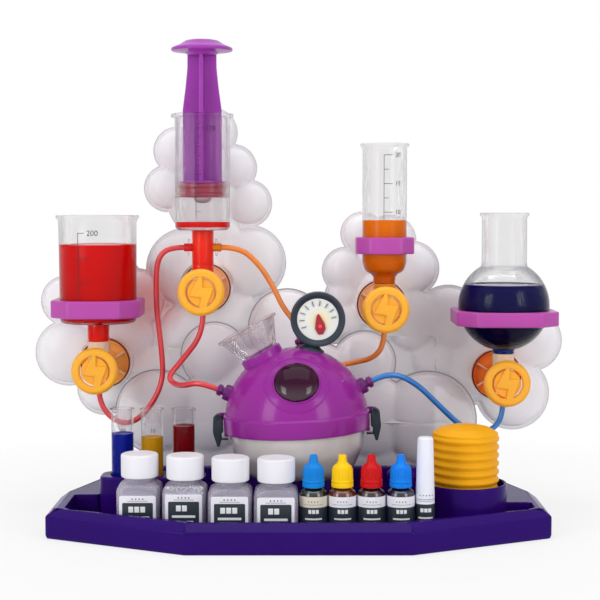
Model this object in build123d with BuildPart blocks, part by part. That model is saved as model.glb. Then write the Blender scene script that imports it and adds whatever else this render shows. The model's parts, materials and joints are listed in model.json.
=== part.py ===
from build123d import *
import os
from math import atan2, cos, degrees, pi, radians, sin, sqrt, tan

os.makedirs("parts", exist_ok=True)

# ------------------------------------------------------------------ driving dimensions (mm)
# The set stands on Z = 0 with its front towards -Y, and is centred on X = 0, Y = 0.

TRAY_DEPTH = 216.0
TRAY_HALF_WIDTH = 190.5
TRAY_FRONT_HALF_WIDTH = 82.0
TRAY_SIDE_FRONT = 53.0  # depth at which the slanted front corners reach the sides
TRAY_SIDE_BACK = 125.0  # depth at which the sides start to run inwards
TRAY_BACK_HALF_WIDTH = 160.0
RIM_TOP = 22.0
RIM_BEVEL = (5.5, 7.7)  # height and width of the bevel round the rim
FLOOR_TOP = 4.0
TRAY_WALL = 2.4
RIM_WALL = 9.5  # left round the hollow under the rim, so that the bevel keeps its thickness
FLOOR_RAISED, FLOOR_EDGE = 1.6, 6.0  # the floor pan is raised, all but its edge
RIDGE_TOP = 31.0
RIDGE_FRONT = 178.0
SLOT_BOTTOM = 14.0

VESSEL_DEPTH = 150.0  # all four vessels stand in one plane
BEAKER_X, SYRINGE_X, CYLINDER_X, FLASK_X = -162.5, -77.5, 69.5, 166.5
BEAKER_VALVE_Z, SYRINGE_VALVE_Z, CYLINDER_VALVE_Z, FLASK_VALVE_Z = 118.0, 181.0, 167.0, 108.0

BEAKER_RADIUS = 31.4
BEAKER_BOTTOM, BEAKER_TOP = 155.0, 242.0
BARREL_RADIUS = 22.15
BARREL_BOTTOM, BARREL_TOP = 230.0, 323.3
CYLINDER_RADIUS = 17.9
CYLINDER_BOTTOM, CYLINDER_TOP = 187.0, 299.5
BULB_RADIUS = 36.8
BULB_Z, FLASK_BOTTOM, FLASK_TOP = 169.0, 134.0, 244.0
FLASK_NECK_RADIUS = 18.2
VESSEL_WALL = 1.7
SPIGOT_RADIUS, SPIGOT_LENGTH = 6.5, 6.0
STEM_RADIUS = 8.8

PORT_Z = 216.0  # side ports of the syringe tee
SEAL_BOTTOM, SEAL_TOP = 256.3, 267.7
THUMB_TOP = 382.3

WHEEL_RADIUS = 19.5
WHEEL_FRONT, WHEEL_THICKNESS = 123.0, 5.0
SPINDLE_RADIUS = 5.0
RUNNING_CLEARANCE = 0.06
VALVE_BARREL_RADIUS = 8.6
VALVE_BARREL_FRONT = 137.0
DISH_RADIUS, DISH_FRONT, DISH_BACK = 20.6, 188.0, 197.0
OUTLET_DROP = 17.0
HOSE_DIAMETER = 4.5

REACTOR_X, REACTOR_DEPTH, REACTOR_Z = -1.5, 113.0, 81.8
REACTOR_RADIUS = 56.7
REACTOR_TILT = 2.4  # the lid's seam rises to the right by this many degrees
LID_WALL = 2.4
BAND_RADIUS, BAND_BOTTOM, BAND_TOP = 57.5, -7.9, 5.6
BOWL_RADIUS = 53.8
WINDOW_ELEVATION, WINDOW_RADIUS = 38.5, 17.1
FUNNEL_ANGLE = -28.8  # from vertical, negative leans left
FUNNEL_BASE, FUNNEL_RIM = 60.4, 82.0
FUNNEL_BASE_RADIUS, FUNNEL_RIM_RADIUS = 14.9, 25.7
GAUGE_ANGLE, GAUGE_DISTANCE, GAUGE_RADIUS = 11.9, 80.9, 21.5
FITTING_TIP = 67.0
LEFT_FITTING_ANGLE, RIGHT_FITTING_ANGLE = -69.2, 63.0

REAR_PANEL, FRONT_PANEL = 206.0, 190.0  # depths of the two cloud sheets' back faces
SHEET = 1.6
FLANGE = 3.0
PAD_DEPTH = 197.1
PLATE_SIZE = (25.2, 16.4)  # of the raised pads under the ring holders

CUP_X, CUP_DEPTH, CUP_RADIUS, CUP_TOP = 128.0, 80.0, 31.8, 38.0
BELLOWS_RADIUS, BELLOWS_TOP, BELLOWS_FOLDS = 26.3, 82.6, 6
RACK_TOP, RACK_DEPTH = 40.0, 100.0
TUBE_XS = (-137.4, -114.3, -89.6)
TUBE_RADIUS, TUBE_RIM_RADIUS, TUBE_BOTTOM, TUBE_TOP = 8.6, 9.6, 8.2, 92.0

SQUARE_BOTTLES = [(-119.2, 56.0), (-84.5, 49.0), (-50.3, 41.0), (-16.4, 38.0)]  # x and depth of each
SQUARE_WIDTH = 32.4
DROPPER_XS = (11.1, 32.4, 53.8, 75.4)
DROPPER_DEPTH, DROPPER_RADIUS = 35.0, 10.3
GLUE_X, GLUE_RADIUS, GLUE_TOP = 93.4, 7.0, 80.4


# ------------------------------------------------------------------ planes, axes and small helpers
def back(depth):
    """Y of a place that is this far behind the tray's front edge."""
    return depth - TRAY_DEPTH / 2


def upright(x, depth):
    """Profile plane through a vertical axis: sketch X is the radius, sketch Y is the height Z."""
    return Plane(origin=(x, back(depth), 0), x_dir=(1, 0, 0), z_dir=(0, -1, 0))


def facing(x, depth, z):
    """Plane facing the front, at this depth: sketch X is right, sketch Y is up."""
    return Plane(origin=(x, back(depth), z), x_dir=(1, 0, 0), z_dir=(0, -1, 0))


def vertical(x, depth):
    return Axis((x, back(depth), 0), (0, 0, 1))


CENTRE = Vector(REACTOR_X, back(REACTOR_DEPTH), REACTOR_Z)
REACTOR_UP = Vector(-sin(radians(REACTOR_TILT)), 0, cos(radians(REACTOR_TILT)))
REACTOR_RIGHT = Vector(cos(radians(REACTOR_TILT)), 0, sin(radians(REACTOR_TILT)))
REACTOR_PROFILE = Plane(origin=CENTRE, x_dir=REACTOR_RIGHT, z_dir=(0, -1, 0))
REACTOR_AXIS = Axis(CENTRE, REACTOR_UP)


def radial(angle):
    """Unit vector out of the dome's centre, this many degrees right of vertical."""
    return Vector(sin(radians(angle)), 0, cos(radians(angle)))


def radial_profile(angle):
    """Profile plane whose sketch Y runs out along radial(angle)."""
    x_dir = (cos(radians(angle)), 0, -sin(radians(angle)))
    return Plane(origin=CENTRE, x_dir=x_dir, z_dir=(0, -1, 0))


def across(angle, distance):
    """Plane square to radial(angle), this far out from the dome's centre."""
    x_dir = (cos(radians(angle)), 0, -sin(radians(angle)))
    return Plane(origin=CENTRE + radial(angle) * distance, x_dir=x_dir, z_dir=radial(angle))


def finish(builder, name):
    """Names the finished piece and writes it."""
    builder.part.label = name
    export_step(builder.part, f"parts/{name}.step")


def crown_arc(radius, low, high):
    """Arc of a shallow dome, from its edge (radius, low) to its crown (0, high) on the axis."""
    ball = dome_sphere(radius, high - low)
    half = radius / 2
    return ThreePointArc((radius, low), (half, high - ball + sqrt(ball**2 - half**2)), (0, high))


def dome_sphere(radius, height):
    """Radius of the sphere whose cap has this rim radius and height."""
    return (radius**2 + height**2) / (2 * height)


# ------------------------------------------------------------------ tray
def tray_outline(inset=0.0):
    """Outer outline of the tray as seen from above."""
    half = TRAY_DEPTH / 2
    right = [
        (TRAY_FRONT_HALF_WIDTH, -half),
        (TRAY_HALF_WIDTH, back(TRAY_SIDE_FRONT)),
        (TRAY_HALF_WIDTH, back(TRAY_SIDE_BACK)),
        (TRAY_BACK_HALF_WIDTH, half),
    ]
    return right + [(-x, y) for x, y in reversed(right)]


RECESS = [
    (-72, 11),
    (72, 11),
    (172, 55),
    (179, 62),
    (179, 80),
    (157, 80),
    (157, RIDGE_FRONT),
    (-157, RIDGE_FRONT),
    (-157, 110),
    (-177, 110),
    (-177, 62),
    (-172, 55),
]
RACK_HALF_LENGTH, RACK_HALF_WIDTH, RACK_CORNER = 41.0, 16.0, 12.0
RACK_X = (TUBE_XS[0] + TUBE_XS[2]) / 2
TUBE_HOLE = 9.1
SEAT_PROFILE = [(37.0, FLOOR_TOP - 1), (43.4, FLOOR_TOP - 1), (43.4, 40.2), (42.0, 39.0), (37.0, 34.6)]
POST_X, POST_DEPTH, POST_RADIUS, POST_TOP = 84.0, 100.0, 15.0, 47.0
RIDGE_HALF_WIDTH, RIDGE_WALL = 141.0, 6.0
RIDGE_HOLLOW, RIDGE_HOLLOW_MIDDLE = 30.0, 200.0  # depth of the hollow under the ridge, and its middle
CUP_WALL = 2.2
FRONT_SLOT_HALF_WIDTH, REAR_SLOT = 133.0, (44.0, 116.0)
SLOT_GAP = 0.2

with BuildPart() as base_tray:
    with BuildSketch():
        with BuildLine():
            Polyline(*tray_outline(), close=True)
        make_face()
    extrude(amount=RIM_TOP)
    top_edges = base_tray.faces().sort_by(Axis.Z)[-1].outer_wire().edges()
    chamfer(top_edges, length=RIM_BEVEL[0], length2=RIM_BEVEL[1])
    with BuildSketch(Plane.XY.offset(FLOOR_TOP)):
        with BuildLine():
            Polyline(*[(x, back(d)) for x, d in RECESS], close=True)
        make_face()
    extrude(amount=RIM_TOP, mode=Mode.SUBTRACT)
    # the ridge that both cloud panels stand in
    with BuildSketch(Plane.XY.offset(RIM_TOP - 2)):
        ridge_length = TRAY_DEPTH - 6 - RIDGE_FRONT
        with Locations((0, back(RIDGE_FRONT + ridge_length / 2))):
            Rectangle(2 * RIDGE_HALF_WIDTH, ridge_length)
    extrude(amount=RIDGE_TOP - RIM_TOP + 2)
    # cup round the air pump and seat ring under the reaction bowl
    with BuildSketch(Plane.XY.offset(FLOOR_TOP - 1)):
        with Locations((CUP_X, back(CUP_DEPTH))):
            Circle(CUP_RADIUS)
            Circle(CUP_RADIUS - CUP_WALL, mode=Mode.SUBTRACT)
    extrude(amount=CUP_TOP - FLOOR_TOP + 1)
    with BuildSketch(upright(REACTOR_X, REACTOR_DEPTH)):
        with BuildLine():
            Polyline(*SEAT_PROFILE, close=True)
        make_face()
    revolve(axis=vertical(REACTOR_X, REACTOR_DEPTH))
    # round post beside the cup
    with BuildSketch(upright(POST_X, POST_DEPTH)):
        with BuildLine():
            Polyline((0, FLOOR_TOP - 1), (POST_RADIUS, FLOOR_TOP - 1), (POST_RADIUS, POST_TOP - 6))
            crown_arc(POST_RADIUS, POST_TOP - 6, POST_TOP)
            Line((0, POST_TOP), (0, FLOOR_TOP - 1))
        make_face()
    revolve(axis=vertical(POST_X, POST_DEPTH))
    # slots for the feet of the cloud panels
    with BuildSketch(Plane.XY.offset(SLOT_BOTTOM)):
        with Locations((0, back(FRONT_PANEL - SHEET / 2))):
            Rectangle(2 * FRONT_SLOT_HALF_WIDTH + 1, SHEET + 2 * SLOT_GAP)
        for side in (-1, 1):
            with Locations((side * sum(REAR_SLOT) / 2, back(REAR_PANEL - SHEET / 2))):
                Rectangle(REAR_SLOT[1] - REAR_SLOT[0] + 1, SHEET + 2 * SLOT_GAP)
    extrude(amount=RIDGE_TOP, mode=Mode.SUBTRACT)
    # the rim and the ridge are hollow from below, as in a moulded tray
    with BuildSketch():
        with BuildLine():
            Polyline(*tray_outline(), close=True)
        make_face()
        offset(amount=-RIM_WALL, kind=Kind.INTERSECTION)
        with BuildLine():
            Polyline(*[(x, back(d)) for x, d in RECESS], close=True)
        recess_face = make_face(mode=Mode.PRIVATE)
        with BuildSketch(mode=Mode.PRIVATE) as floor_margin:
            add(recess_face)
            offset(amount=TRAY_WALL, kind=Kind.INTERSECTION)
        add(floor_margin.sketch, mode=Mode.SUBTRACT)
        with Locations((0, back(TRAY_DEPTH))):
            Rectangle(400, 2 * (TRAY_DEPTH - RIDGE_FRONT + TRAY_WALL), mode=Mode.SUBTRACT)
    extrude(amount=RIM_TOP - TRAY_WALL, mode=Mode.SUBTRACT)
    with BuildSketch():
        with Locations((0, back(RIDGE_HOLLOW_MIDDLE))):
            Rectangle(2 * (RIDGE_HALF_WIDTH - RIDGE_WALL), RIDGE_HOLLOW)
    extrude(amount=SLOT_BOTTOM - TRAY_WALL, mode=Mode.SUBTRACT)
    # the floor pan is raised a little, so that the tray stands on its edges
    with BuildSketch():
        with BuildLine():
            Polyline(*[(x, back(d)) for x, d in RECESS], close=True)
        make_face()
        offset(amount=-FLOOR_EDGE, kind=Kind.INTERSECTION)
    extrude(amount=FLOOR_RAISED, mode=Mode.SUBTRACT)
finish(base_tray, "base_tray")

# rack for the test tubes, which stands on the tray's floor
with BuildPart() as tube_rack:
    with BuildSketch(Plane.XY.offset(FLOOR_TOP)):
        with Locations((RACK_X, back(RACK_DEPTH))):
            RectangleRounded(2 * RACK_HALF_LENGTH, 2 * RACK_HALF_WIDTH, RACK_CORNER)
    extrude(amount=RACK_TOP - FLOOR_TOP)
    fillet(tube_rack.faces().sort_by(Axis.Z)[-1].edges(), radius=1.6)
    with BuildSketch(Plane.XY.offset(TUBE_BOTTOM - 0.2)):
        with Locations(*[(x, back(RACK_DEPTH)) for x in TUBE_XS]):
            Circle(TUBE_HOLE)
    extrude(amount=RACK_TOP, mode=Mode.SUBTRACT)
finish(tube_rack, "tube_rack")


# ------------------------------------------------------------------ stopcocks
def valve_body(x, z, stem_top):
    """Stopcock body: a barrel along Y with a dished mounting plate, a stem above and an outlet below."""
    plane = Plane(origin=(x, 0, z), x_dir=(0, 1, 0), z_dir=(1, 0, 0))
    with BuildPart() as body:
        with BuildSketch(plane):
            with BuildLine():
                Polyline(
                    (back(VALVE_BARREL_FRONT), 0),
                    (back(VALVE_BARREL_FRONT), VALVE_BARREL_RADIUS),
                    (back(DISH_FRONT + 4), VALVE_BARREL_RADIUS),
                    (back(DISH_FRONT + 5), DISH_RADIUS - 3),
                    (back(DISH_FRONT), DISH_RADIUS - 1.6),
                    (back(DISH_FRONT), DISH_RADIUS),
                    (back(DISH_BACK), DISH_RADIUS),
                    (back(DISH_BACK), 0),
                    close=True,
                )
            make_face()
        revolve(axis=Axis((x, 0, z), (0, 1, 0)))
        with BuildSketch(Plane.XY.offset(z)):
            with Locations((x, back(VESSEL_DEPTH))):
                Circle(STEM_RADIUS)
        extrude(amount=stem_top - z)
        with BuildSketch(Plane.XY.offset(z)):
            with Locations((x, back(VESSEL_DEPTH))):
                Circle(HOSE_DIAMETER / 2 + 1.2)
        extrude(amount=-(OUTLET_DROP - 6))
        with BuildSketch(Plane.XY.offset(z)):
            with Locations((x, back(VESSEL_DEPTH))):
                Circle(HOSE_DIAMETER / 2)
        extrude(amount=-OUTLET_DROP)
        # bores: the spindle's, the stem's and the outlet's
        with BuildSketch(facing(x, VALVE_BARREL_FRONT, z)):
            Circle(SPINDLE_RADIUS + RUNNING_CLEARANCE)
        extrude(amount=-24, mode=Mode.SUBTRACT)
        with BuildSketch(Plane.XY.offset(z)):
            with Locations((x, back(VESSEL_DEPTH))):
                Circle(3)
        extrude(amount=stem_top - z, mode=Mode.SUBTRACT)
        with BuildSketch(Plane.XY.offset(stem_top)):
            with Locations((x, back(VESSEL_DEPTH))):
                Circle(SPIGOT_RADIUS + 0.1)
        extrude(amount=-(SPIGOT_LENGTH + 0.2), mode=Mode.SUBTRACT)
        with BuildSketch(Plane.XY.offset(z)):
            with Locations((x, back(VESSEL_DEPTH))):
                Circle(1.3)
        extrude(amount=-OUTLET_DROP, mode=Mode.SUBTRACT)
    return body


def valve_wheel(x, z):
    """Hand wheel with a zigzag spoke between three cut-outs, and the spindle that it turns."""
    with BuildPart() as wheel:
        with BuildSketch(facing(x, WHEEL_FRONT, z)):
            Circle(WHEEL_RADIUS)
            with BuildLine():
                Polyline((-2.2, -13.6), (-1.7, -4.8), (-11.2, -4.4))
                ThreePointArc((-11.2, -4.4), (-11.6, 3.4), (-4.6, 12.4))
                ThreePointArc((-4.6, 12.4), (-13.2, -1.0), (-2.2, -13.6))
            make_face(mode=Mode.SUBTRACT)
            with BuildLine():
                Polyline((-1.1, 9.0), (-1.1, 3.5), (7.6, 3.5), close=True)
            make_face(mode=Mode.SUBTRACT)
            with BuildLine():
                Polyline((2.6, -13.4), (9.2, -2.4), (11.4, -7.4), (7.8, -11.0), close=True)
            make_face(mode=Mode.SUBTRACT)
        extrude(amount=-WHEEL_THICKNESS)
        rim_edges = wheel.edges().filter_by(GeomType.CIRCLE).sort_by(SortBy.RADIUS)[-2:]
        fillet(rim_edges, radius=1.4)
        with BuildSketch(facing(x, WHEEL_FRONT + WHEEL_THICKNESS, z)):
            Circle(SPINDLE_RADIUS + 2)
        extrude(amount=-(VALVE_BARREL_FRONT - WHEEL_FRONT - WHEEL_THICKNESS - 0.4))
        with BuildSketch(facing(x, WHEEL_FRONT + WHEEL_THICKNESS, z)):
            Circle(SPINDLE_RADIUS)
        extrude(amount=-31)
        # the cross bore that lets the liquid through when the valve is open
        with BuildSketch(Plane.XY.offset(z - SPINDLE_RADIUS - 1)):
            with Locations((x, back(VESSEL_DEPTH))):
                Circle(2.2)
        extrude(amount=2 * SPINDLE_RADIUS + 2, mode=Mode.SUBTRACT)
    return wheel


TEE_BOTTOM = 203.0
VALVES = {
    "beaker": (BEAKER_X, BEAKER_VALVE_Z, BEAKER_BOTTOM),
    "syringe": (SYRINGE_X, SYRINGE_VALVE_Z, TEE_BOTTOM),
    "cylinder": (CYLINDER_X, CYLINDER_VALVE_Z, CYLINDER_BOTTOM),
    "flask": (FLASK_X, FLASK_VALVE_Z, FLASK_BOTTOM),
}
for vessel, (valve_x, valve_z, stem_top) in VALVES.items():
    finish(valve_body(valve_x, valve_z, stem_top), f"{vessel}_valve_body")
    finish(valve_wheel(valve_x, valve_z), f"{vessel}_valve_wheel")


# ------------------------------------------------------------------ vessels
def spigot_points(bottom):
    """Outline of a vessel's outlet spigot, from its inner bore round to the vessel's underside."""
    return [(3.0, bottom - SPIGOT_LENGTH), (SPIGOT_RADIUS, bottom - SPIGOT_LENGTH), (SPIGOT_RADIUS, bottom)]


with BuildPart() as beaker:
    with BuildSketch(upright(BEAKER_X, VESSEL_DEPTH)):
        with BuildLine():
            low, top, wall = BEAKER_BOTTOM, BEAKER_TOP, VESSEL_WALL
            Polyline((3.0, low + wall), *spigot_points(low), (BEAKER_RADIUS - 5.6, low))
            JernArc((BEAKER_RADIUS - 5.6, low), (1, 0), 5, 90)
            Polyline(
                (BEAKER_RADIUS - 0.6, low + 5),
                (BEAKER_RADIUS, top - 4),
                (BEAKER_RADIUS + 2.2, top - 1.8),
                (BEAKER_RADIUS + 2.2, top),
                (BEAKER_RADIUS + 0.8, top),
                (BEAKER_RADIUS - wall, top - 3.4),
                (BEAKER_RADIUS - 0.6 - wall, low + 5),
            )
            JernArc((BEAKER_RADIUS - 0.6 - wall, low + 5), (0, -1), 5 - wall, -90)
            Line((BEAKER_RADIUS - 5.6, low + wall), (3.0, low + wall))
        make_face()
    revolve(axis=vertical(BEAKER_X, VESSEL_DEPTH))
finish(beaker, "beaker")

with BuildPart() as syringe_barrel:
    with BuildSketch(upright(SYRINGE_X, VESSEL_DEPTH)):
        with BuildLine():
            low, top, wall = BARREL_BOTTOM, BARREL_TOP, VESSEL_WALL
            Polyline(
                (3.0, low + 2.5),
                *spigot_points(low),
                (BARREL_RADIUS - 2.5, low),
                (BARREL_RADIUS, low + 2.5),
                (BARREL_RADIUS, top - 3.4),
                (BARREL_RADIUS + 3, top - 3),
                (BARREL_RADIUS + 3, top),
                (BARREL_RADIUS - wall, top),
                (BARREL_RADIUS - wall, low + 2.5),
                close=True,
            )
        make_face()
    revolve(axis=vertical(SYRINGE_X, VESSEL_DEPTH))
finish(syringe_barrel, "syringe_barrel")

with BuildPart() as measuring_cylinder:
    with BuildSketch(upright(CYLINDER_X, VESSEL_DEPTH)):
        with BuildLine():
            low, top, wall = CYLINDER_BOTTOM, CYLINDER_TOP, VESSEL_WALL
            Polyline((3.0, low + 9), *spigot_points(low), (9.0, low), (9.0, low + 5))
            ThreePointArc((9.0, low + 5), (15.6, low + 9.4), (CYLINDER_RADIUS, low + 17))
            Polyline(
                (CYLINDER_RADIUS, low + 17),
                (CYLINDER_RADIUS, top - 3),
                (CYLINDER_RADIUS + 1.9, top - 1.6),
                (CYLINDER_RADIUS + 1.9, top),
                (CYLINDER_RADIUS + 0.4, top),
                (CYLINDER_RADIUS - wall, top - 2.6),
                (CYLINDER_RADIUS - wall, low + 17.5),
            )
            ThreePointArc((CYLINDER_RADIUS - wall, low + 17.5), (13.2, low + 11.6), (3.0, low + 9))
        make_face()
    revolve(axis=vertical(CYLINDER_X, VESSEL_DEPTH))
finish(measuring_cylinder, "measuring_cylinder")

with BuildPart() as round_flask:
    inner_bulb, inner_neck = BULB_RADIUS - VESSEL_WALL, FLASK_NECK_RADIUS - VESSEL_WALL
    outer_join = BULB_Z + sqrt(BULB_RADIUS**2 - FLASK_NECK_RADIUS**2)
    inner_join = BULB_Z + sqrt(inner_bulb**2 - inner_neck**2)
    foot_radius = sqrt(BULB_RADIUS**2 - (BULB_Z - FLASK_BOTTOM) ** 2)
    with BuildSketch(upright(FLASK_X, VESSEL_DEPTH)):
        with BuildLine():
            inner_low = BULB_Z - sqrt(inner_bulb**2 - 9)
            Polyline((3.0, inner_low), *spigot_points(FLASK_BOTTOM), (foot_radius, FLASK_BOTTOM))
            ThreePointArc(
                (foot_radius, FLASK_BOTTOM), (BULB_RADIUS, BULB_Z), (FLASK_NECK_RADIUS, outer_join)
            )
            Polyline(
                (FLASK_NECK_RADIUS, outer_join),
                (FLASK_NECK_RADIUS, FLASK_TOP - 3),
                (FLASK_NECK_RADIUS + 1.7, FLASK_TOP - 1.6),
                (FLASK_NECK_RADIUS + 1.7, FLASK_TOP),
                (FLASK_NECK_RADIUS + 0.4, FLASK_TOP),
                (inner_neck, FLASK_TOP - 2.6),
                (inner_neck, inner_join),
            )
            ThreePointArc((inner_neck, inner_join), (inner_bulb, BULB_Z), (3.0, inner_low))
        make_face()
    revolve(axis=vertical(FLASK_X, VESSEL_DEPTH))
finish(round_flask, "round_flask")


# ------------------------------------------------------------------ ring holders
RING_CORNER, RING_BEVEL = 7.0, 1.6


def ring_holder(x, outer, flat, inner_low, inner_high, low, high):
    """Eight-sided ring round a vessel, with an arm back to a square plate on the cloud panel.

    outer is half the ring's width, flat half the length of its front, side and back faces.
    """
    middle = (low + high) / 2
    arm_start = VESSEL_DEPTH + outer - 3
    front = [(-flat, -outer), (flat, -outer), (outer, -flat), (outer, flat)]
    corners = front + [(-px, -py) for px, py in front]
    with BuildPart() as ring:
        with BuildSketch(Plane(origin=(x, back(VESSEL_DEPTH), low))) as outline:
            with BuildLine():
                Polyline(*corners, close=True)
            make_face()
            fillet(outline.vertices(), radius=RING_CORNER)
        extrude(amount=high - low)
        for face in (ring.faces().sort_by(Axis.Z)[-1], ring.faces().sort_by(Axis.Z)[0]):
            chamfer(face.edges(), length=RING_BEVEL)
        with BuildSketch(upright(x, VESSEL_DEPTH)):
            with BuildLine():
                Polyline(
                    (0, low - 1),
                    (inner_low, low - 1),
                    (inner_low, low),
                    (inner_high, high),
                    (inner_high, high + 1),
                    (0, high + 1),
                    close=True,
                )
            make_face()
        revolve(axis=vertical(x, VESSEL_DEPTH), mode=Mode.SUBTRACT)
        with BuildSketch(facing(x, arm_start, middle)):
            Rectangle(14, 8)
        extrude(amount=-(PAD_DEPTH - arm_start - 1))
        with BuildSketch(facing(x, PAD_DEPTH - 2, middle)):
            RectangleRounded(22, 13, 2)
        extrude(amount=-2)
    return ring


finish(ring_holder(BEAKER_X, 35.6, 20.4, 31.3, 31.6, 160.3, 174.3), "beaker_ring")
finish(ring_holder(CYLINDER_X, 23.4, 12.6, 18.3, 18.3, 211.0, 224.4), "cylinder_ring")
finish(ring_holder(FLASK_X, 40.8, 25.4, 34.2, 37.4, 154.0, 165.6), "flask_ring")


# ------------------------------------------------------------------ syringe
PORT_REACH = 15.2
with BuildPart() as syringe_tee:
    tee_axis = (SYRINGE_X, back(VESSEL_DEPTH))
    with BuildSketch(Plane.XY.offset(TEE_BOTTOM)):
        with Locations(tee_axis):
            Circle(STEM_RADIUS)
    extrude(amount=BARREL_BOTTOM - TEE_BOTTOM)
    with BuildSketch(Plane.XY.offset(TEE_BOTTOM)):
        with Locations(tee_axis):
            Circle(SPIGOT_RADIUS)
    extrude(amount=-SPIGOT_LENGTH)
    for side in (-1, 1):
        port = Plane(
            origin=(SYRINGE_X, back(VESSEL_DEPTH), PORT_Z), x_dir=(0, 1, 0), z_dir=(side, 0, 0)
        )
        with BuildSketch(port):
            Circle(3.4)
        extrude(amount=PORT_REACH)
        with BuildSketch(port.offset(STEM_RADIUS + 1.4)):
            Circle(7)
        extrude(amount=1.6)
        with BuildSketch(port):
            Circle(1.5)
        extrude(amount=PORT_REACH, mode=Mode.SUBTRACT)
    with BuildSketch(Plane.XY.offset(TEE_BOTTOM - SPIGOT_LENGTH)):
        with Locations(tee_axis):
            Circle(3)
    extrude(amount=BARREL_BOTTOM - TEE_BOTTOM + SPIGOT_LENGTH, mode=Mode.SUBTRACT)
    with BuildSketch(Plane.XY.offset(BARREL_BOTTOM)):
        with Locations(tee_axis):
            Circle(SPIGOT_RADIUS + 0.1)
    extrude(amount=-(SPIGOT_LENGTH + 0.2), mode=Mode.SUBTRACT)
finish(syringe_tee, "syringe_tee")

PISTON_RADIUS = BARREL_RADIUS - VESSEL_WALL - 0.08
SEAL_NECK = 8.0
with BuildPart() as plunger:
    # a cross of two ribs that flare towards the barrel
    rib = [(15.7, SEAL_TOP + 1), (15.7, 326), (13.2, 345), (11.7, 360), (11.6, 372)]
    rib_outline = rib + [(-x, z) for x, z in reversed(rib)]
    rib_origin = (SYRINGE_X, back(VESSEL_DEPTH), 0)
    for x_dir, z_dir in (((1, 0, 0), (0, -1, 0)), ((0, 1, 0), (1, 0, 0))):
        with BuildSketch(Plane(origin=rib_origin, x_dir=x_dir, z_dir=z_dir)):
            with BuildLine():
                Polyline(*rib_outline, close=True)
            make_face()
        extrude(amount=1.6, both=True)
    with BuildSketch(upright(SYRINGE_X, VESSEL_DEPTH)):
        with BuildLine():
            Polyline((0, 370), (12.6, 370), (14, 372.4), (24.8, 373.4), (24.8, 375.6), (15, 380))
            ThreePointArc((15, 380), (12.6, 381.7), (9.8, THUMB_TOP))
            Polyline((9.8, THUMB_TOP), (0, THUMB_TOP), (0, 370))
        make_face()
        with BuildLine():
            Polyline(
                (0, SEAL_BOTTOM + 3),
                (SEAL_NECK, SEAL_BOTTOM + 3),
                (SEAL_NECK, SEAL_TOP),
                (PISTON_RADIUS - 1.5, SEAL_TOP),
                (PISTON_RADIUS - 1.5, SEAL_TOP + 2),
                (0, SEAL_TOP + 2),
                close=True,
            )
        make_face()
    revolve(axis=vertical(SYRINGE_X, VESSEL_DEPTH))
finish(plunger, "plunger")

with BuildPart() as piston_seal:
    with BuildSketch(upright(SYRINGE_X, VESSEL_DEPTH)):
        with BuildLine():
            Polyline(
                (0, SEAL_BOTTOM),
                (PISTON_RADIUS, SEAL_BOTTOM),
                (PISTON_RADIUS, SEAL_BOTTOM + 3),
                (PISTON_RADIUS - 1.4, SEAL_BOTTOM + 4.2),
                (PISTON_RADIUS - 1.4, SEAL_TOP - 4.2),
                (PISTON_RADIUS, SEAL_TOP - 3),
                (PISTON_RADIUS, SEAL_TOP),
                (SEAL_NECK + 0.02, SEAL_TOP),
                (SEAL_NECK + 0.02, SEAL_BOTTOM + 3),
                (0, SEAL_BOTTOM + 3),
                close=True,
            )
        make_face()
    revolve(axis=vertical(SYRINGE_X, VESSEL_DEPTH))
finish(piston_seal, "piston_seal")

# ------------------------------------------------------------------ reaction dome and bowl
FUNNEL_BORE = 12.6
COLLAR_RADIUS, COLLAR_START = 16.7, 52.6
SPOUT_RADIUS = 2.5
GAUGE_CENTRE = CENTRE + radial(GAUGE_ANGLE) * GAUGE_DISTANCE

# each hose fitting: where it sits on the dome and which way its barrel points
FITTINGS = {
    "left": (radial(LEFT_FITTING_ANGLE), radial(LEFT_FITTING_ANGLE)),
    "right": (radial(RIGHT_FITTING_ANGLE), radial(RIGHT_FITTING_ANGLE)),
    "top": (Vector(0.08, 0.42, 0.90).normalized(), Vector(-0.22, 0.26, 0.94).normalized()),
    "rear": (Vector(0.45, 0.62, 0.643).normalized(), Vector(0.93, 0.33, 0.16).normalized()),
}
FITTING_REACH = FITTING_TIP - REACTOR_RADIUS


def fitting_plane(name):
    seat, way = FITTINGS[name]
    return Plane(origin=CENTRE + seat * REACTOR_RADIUS, z_dir=way)


LATCH_PIVOT = (61.4, 3.4)  # from the dome's centre, along its own right and up
LATCH_PIN = 1.3

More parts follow.
